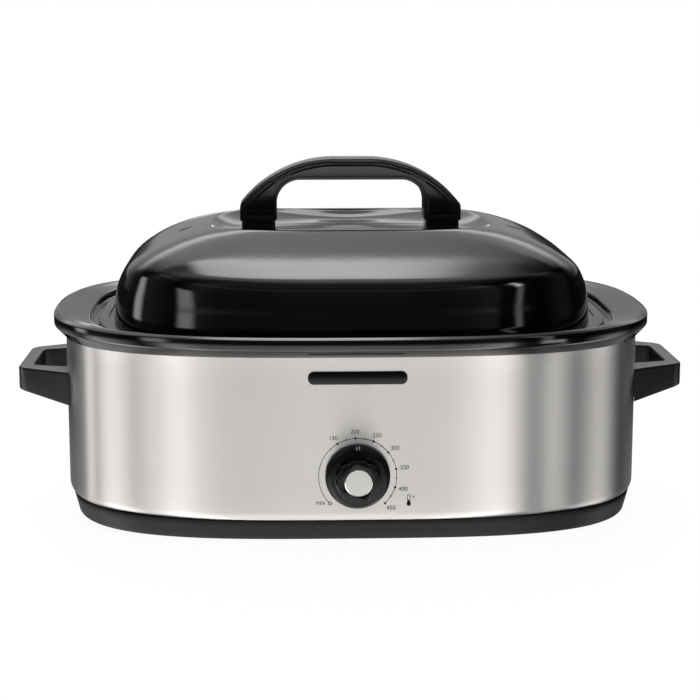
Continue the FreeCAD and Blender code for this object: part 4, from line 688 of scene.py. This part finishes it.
def printBar(bm, x, z, width, height):
    verts = bmesh.ops.create_grid(bm, x_segments=1, y_segments=1, size=0.5)["verts"]
    for vert in verts:
        vert.co = Vector((vert.co.x * width * mm + x * mm, 0, vert.co.y * height * mm + z * mm))


bm = bmesh.new()
startTurn, endTurn = dial["sweep"]
ends = [dialSpot(dial["arc"] + off, startTurn + dial["gap"]) for off in (-dial["line"] / 2, dial["line"] / 2)]
first = [bm.verts.new(Vector((x * mm, 0, z * mm))) for x, z in ends]
strip = bm.edges.new(first)
bmesh.ops.spin(
    bm,
    geom=first + [strip],
    cent=(0, 0, dial["height"] * mm),
    axis=(0, 1, 0),
    steps=dial["arcSteps"],
    angle=math.radians(endTurn - startTurn - 2 * dial["gap"]),
    use_merge=False,
)
for degrees in dial["majors"].values():
    printDot(bm, *dialSpot(dial["arc"], degrees), dial["bigDot"])
for degrees in dial["minors"]:
    printDot(bm, *dialSpot(dial["arc"], degrees), dial["smallDot"])
printDot(bm, *dialSpot(dial["arc"], startTurn), *dial["startRing"])
x, z, width, height, bulb, line = (gauge[key] for key in ("x", "z", "width", "height", "bulb", "line"))
printDot(bm, x, z - height / 2 + bulb, bulb)
printBar(bm, x, z - height * gauge["fillDrop"], width * gauge["fillWidth"], height * gauge["fillHeight"])
for side in (-1, 1):
    printBar(bm, x + side * (width - line) / 2, z + bulb / 2, line, height - bulb)
printBar(bm, x, z + height / 2, width - line, line)
layOnWrap(bm)
stands(finished("dialScale", bm, ink), "base", "phenolic")


def printWord(name, text, x, z, height, align="CENTER"):
    curve = bpy.data.curves.new(name, "FONT")
    curve.body, curve.size = text, height * dial["sizePerHeight"] * mm
    curve.align_x, curve.align_y = align, "CENTER"
    words = bpy.data.objects.new(name, curve)
    bpy.context.scene.collection.objects.link(words)
    bpy.context.view_layer.update()
    mesh = bpy.data.meshes.new_from_object(words.evaluated_get(bpy.context.evaluated_depsgraph_get()))
    bpy.data.objects.remove(words)
    bm = bmesh.new()
    bm.from_mesh(mesh)
    for vert in bm.verts:
        vert.co = Vector((vert.co.x + x * mm, 0, vert.co.y + z * mm))
    layOnWrap(bm)
    return stands(finished(name, bm, ink), "base", "phenolic")


for value, degrees in dial["majors"].items():
    x, z = dialSpot(dial["figureOut"], degrees)
    x += math.sin(math.radians(degrees)) * dial["figureSpread"]
    printWord(f"dialFigure{value}", str(value), x, z, dial["figure"])
x, z = dialSpot(dial["arc"], startTurn)
printWord("dialWordMin", "MIN", x - dial["minAway"], z, dial["minHeight"], "RIGHT")
printWord("dialUnit", "°F", *dial["unit"], "LEFT")

# two short marks on the knob's skirt, at the top
pointer = {"out": 26.6, "length": 3.4, "width": 0.8, "apart": 2.5, "front": -201.3, "back": -199.6}
deep, middle = pointer["back"] - pointer["front"], (pointer["front"] + pointer["back"]) / 2
bm = bmesh.new()
for side in (-1, 1):
    place = (side * pointer["apart"] / 2, middle, dial["height"] + pointer["out"])
    addBlock(bm, (pointer["width"], deep, pointer["length"]), place)
stands(finished("knobPointer", bm, whiteInk), "knob", "phenolic")
print("dial ready")

# bare badge plate, bent to the wrap's curve
badge = {"size": (86.6, 11.5), "height": 149, "thick": 0.6, "endRound": 5.2, "arris": 0.25}
bm = bmesh.new()
addBlock(bm, (badge["size"][0], badge["thick"], badge["size"][1]), (0, 0, 0))
roundEdges(bm, edgesAlong(bm, 1), badge["endRound"], 8)
front = [e for e in bm.edges if all(v.co.y < -0.1 * mm for v in e.verts)]
roundEdges(bm, front, badge["arris"], 2)
bmesh.ops.triangulate(bm, faces=[f for f in bm.faces if len(f.verts) > 4])
for vert in bm.verts:
    setBack = wrapFront(vert.co.x / mm) - badge["thick"] / 2
    vert.co += Vector((0, setBack, badge["height"])) * mm
stands(finished("badgePlate", bm, knobPlastic), "base", "phenolic")
print("badge ready")

# studio light, as a painted room round the object
studio = {
    # the round of the room: degrees from the front, + to the right, and its share of light
    "round": (
        (-180, 0.3), (-150, 0.2), (-132, 0.45), (-120, 0.35), (-108, 0.2), (-100, 1.3), (-92, 2.1),
        (-78, 1.35), (-66, 0.6), (-57, 0.05), (-50, 0.5), (-44, 1.8), (-37, 1.95), (-28, 0.95),
        (-18, 0.97), (-10, 0.92), (0, 1.12), (8, 0.96), (14, 0.93), (19, 1.15), (24, 1.6), (29, 2.3),
        (33, 2.1), (35, 0.3), (40, 0.03), (58, 0.02), (70, 0.02), (80, 0.5), (92, 1.2), (100, 1.0),
        (117, 0.1), (180, 0.3),
    ),
    # degrees above the horizon and brightness: lit table, dark walls, lit ceiling
    "layers": (
        (-90, 0.4), (-66, 1.6), (-54, 3.4), (-38, 3.0), (-25, 1.9), (-14, 1.5), (-10, 0.1), (-8, 0.06),
        (42, 0.1), (58, 0.9), (75, 2.0), (90, 2.0),
    ),
    "rampLimit": 10,  # a ramp's levels are kept between 0 and 1, so each is divided by this first
    # high up the round evens out: from, to, and the even share
    "even": (60, 80, 0.8),
    # the ceiling's front half is dark: degrees over the head where it ends, degrees up where it
    # starts, and the share of light it takes
    "darkCeiling": (88, 106, 40, 58, 0.9),
    # soft boxes: azimuth and half width, elevation and half height, softness, brightness
    "boxes": {
        "leftStrip": (-49, 6, 0, 10, 3, 2.6),
        "leftCornerStrip": (-107, 6, 3, 12, 4, 2.8),
        "rightCard": (51, 6, -14, 3, 1.5, 3.8),
        "rightLamp": (47, 2.2, 36, 12, 1.5, 8.0),
        "rightLampFade": (47, 2.2, 10, 20, 1.5, 1.6),
        "rightLowStrip": (58, 2, -33, 14, 2, 2.4),
    },
    # ceiling boxes: degrees over the head from the front and half width, east share and half width,
    # softness of each, brightness
    "ceilings": {
        "mainBox": (114.5, 6.5, -0.04, 0.13, 1.2, 0.05, 4.0),
        "mainBoxFade": (114.5, 6.5, 0.06, 0.12, 1.2, 0.12, 1.0),
        "rearScreen": (139, 20, -0.1, 0.3, 4, 0.25, 1.3),
        "eastScreen": (144, 14, 0.32, 0.16, 4, 0.12, 0.75),
        "rearWall": (164, 20, 0.0, 0.5, 3, 0.4, 0.38),
        "rearGlow": (156, 9, 0.1, 0.5, 4, 0.3, 0.3),
        "rearHorizon": (182, 4, 0.0, 0.08, 1.5, 0.03, 2.4),
    },
}
world = bpy.data.worlds.new("studio")
bpy.context.scene.world = world
world.use_nodes = True
tree = world.node_tree
tree.nodes.clear()


def brightnessOver(degrees, stops):
    # a curve of brightness over degrees, from the first stop to the last
    low, high, limit = stops[0][0], stops[-1][0], studio["rampLimit"]
    share = addNode(tree, "ShaderNodeMapRange", {}, {"Value": degrees, "From Min": low, "From Max": high})
    ramp = addNode(tree, "ShaderNodeValToRGB", {}, {"Fac": share})
    points = ramp.color_ramp.elements
    points.remove(points[-1])
    for index, (place, level) in enumerate(stops):
        point = points[0] if index == 0 else points.new(1)
        point.position = (place - low) / (high - low)
        point.color = (level / limit, level / limit, level / limit, 1)
    return addNode(tree, "ShaderNodeMath", {"operation": "MULTIPLY"}, {0: ramp, 1: limit})


def softBand(value, centre, half, soft):
    # 1 within half of the centre, easing to 0 over the softness
    offset = addNode(tree, "ShaderNodeMath", {"operation": "SUBTRACT"}, {0: value, 1: centre})
    away = addNode(tree, "ShaderNodeMath", {"operation": "ABSOLUTE"}, {0: offset})
    return addNode(
        tree,
        "ShaderNodeMapRange",
        {"interpolation_type": "SMOOTHSTEP"},
        {"Value": away, "From Min": half - soft, "From Max": half + soft, "To Min": 1, "To Max": 0},
    )


coords = addNode(tree, "ShaderNodeTexCoord")
sightLine = addNode(tree, "ShaderNodeSeparateXYZ", {}, {0: coords.outputs["Generated"]})
east, north, up = sightLine.outputs
south = addNode(tree, "ShaderNodeMath", {"operation": "MULTIPLY"}, {0: north, 1: -1})
angles = (
    addNode(tree, "ShaderNodeMath", {"operation": "ARCTAN2"}, {0: east, 1: south}),
    addNode(tree, "ShaderNodeMath", {"operation": "ARCSINE"}, {0: up}),
    addNode(tree, "ShaderNodeMath", {"operation": "ARCTAN2"}, {0: up, 1: south}),
)
azimuth, elevation, overhead = (
    addNode(tree, "ShaderNodeMath", {"operation": "DEGREES"}, {0: angle}) for angle in angles
)

evenFrom, evenTo, evenShare = studio["even"]
evened = addNode(
    tree, "ShaderNodeMapRange", {}, {"Value": elevation, "From Min": evenFrom, "From Max": evenTo}
)
sides = addNode(
    tree,
    "ShaderNodeMix",
    {"data_type": "FLOAT"},
    {0: evened, 2: brightnessOver(azimuth, studio["round"]), 3: evenShare},
)
layers = brightnessOver(elevation, studio["layers"])
level = addNode(tree, "ShaderNodeMath", {"operation": "MULTIPLY"}, {0: layers, 1: sides})

darkFrom, litFrom, lowEdge, highEdge, darkness = studio["darkCeiling"]
lit = addNode(
    tree,
    "ShaderNodeMapRange",
    {"interpolation_type": "SMOOTHSTEP"},
    {"Value": overhead, "From Min": darkFrom, "From Max": litFrom},
)
above = addNode(
    tree, "ShaderNodeMapRange", {}, {"Value": elevation, "From Min": lowEdge, "From Max": highEdge}
)
unlit = addNode(tree, "ShaderNodeMath", {"operation": "SUBTRACT"}, {0: 1.0, 1: lit})
shut = addNode(tree, "ShaderNodeMath", {"operation": "MULTIPLY"}, {0: unlit, 1: above})
unshaded = addNode(tree, "ShaderNodeMath", {"operation": "MULTIPLY_ADD"}, {0: shut, 1: -darkness, 2: 1.0})
level = addNode(tree, "ShaderNodeMath", {"operation": "MULTIPLY"}, {0: level, 1: unshaded})

lamps = [
    (softBand(azimuth, place, half, soft), softBand(elevation, height, halfHeight, soft), bright)
    for place, half, height, halfHeight, soft, bright in studio["boxes"].values()
]
lamps += [
    (softBand(overhead, place, half, soft), softBand(east, side, halfSide, sideSoft), bright)
    for place, half, side, halfSide, soft, sideSoft, bright in studio["ceilings"].values()
]
for bandOne, bandTwo, bright in lamps:
    mask = addNode(tree, "ShaderNodeMath", {"operation": "MULTIPLY"}, {0: bandOne, 1: bandTwo})
    level = addNode(tree, "ShaderNodeMath", {"operation": "MULTIPLY_ADD"}, {0: mask, 1: bright, 2: level})

# the camera itself sees plain white behind the object
path = addNode(tree, "ShaderNodeLightPath")
seen = addNode(
    tree,
    "ShaderNodeMix",
    {"data_type": "FLOAT"},
    {0: path.outputs["Is Camera Ray"], 2: level, 3: 1.0},
)
background = addNode(tree, "ShaderNodeBackground", {}, {"Color": (1, 1, 1, 1), "Strength": seen})
addNode(tree, "ShaderNodeOutputWorld", {}, {"Surface": background})

# pale paper floor; the camera sees most of it as an even glow, so its edge melts into the backdrop
floorPaper = {"halfSize": 6, "squares": 4, "glow": 1.12, "glowShare": 0.85}  # half size in metres
paper, tree, surface = newMaterial("paperFloor", "#e9e9e9", 0.9)
path = addNode(tree, "ShaderNodeLightPath")
glow = addNode(tree, "ShaderNodeEmission", {}, {"Strength": floorPaper["glow"]})
glowing = addNode(
    tree,
    "ShaderNodeMath",
    {"operation": "MULTIPLY"},
    {0: path.outputs["Is Camera Ray"], 1: floorPaper["glowShare"]},
)
mixed = addNode(tree, "ShaderNodeMixShader", {}, {0: glowing, 1: surface, 2: glow})
tree.links.new(mixed.outputs[0], tree.nodes["Material Output"].inputs["Surface"])
bm = bmesh.new()
squares = floorPaper["squares"]
bmesh.ops.create_grid(bm, x_segments=squares, y_segments=squares, size=floorPaper["halfSize"])
floorSheet = finished("paperFloor", bm, paper)
floorSheet.visible_glossy = False

# camera, nearly straight on and a little above; metres and degrees, the lens in millimetres
view = {"azimuth": -2.0, "distance": 1.7702, "height": 0.4642, "aim": 0.138, "lens": 95.25}
camera = bpy.data.objects.new("camera", bpy.data.cameras.new("camera"))
bpy.context.scene.collection.objects.link(camera)
bpy.context.scene.camera = camera
camera.data.lens = view["lens"]
turn = math.radians(view["azimuth"])
camera.location = (view["distance"] * math.sin(turn), -view["distance"] * math.cos(turn), view["height"])
aim = Vector((0, 0, view["aim"])) - camera.location
camera.rotation_euler = aim.to_track_quat("-Z", "Y").to_euler()
bpy.context.scene.view_settings.view_transform = "Standard"
print("stage ready")
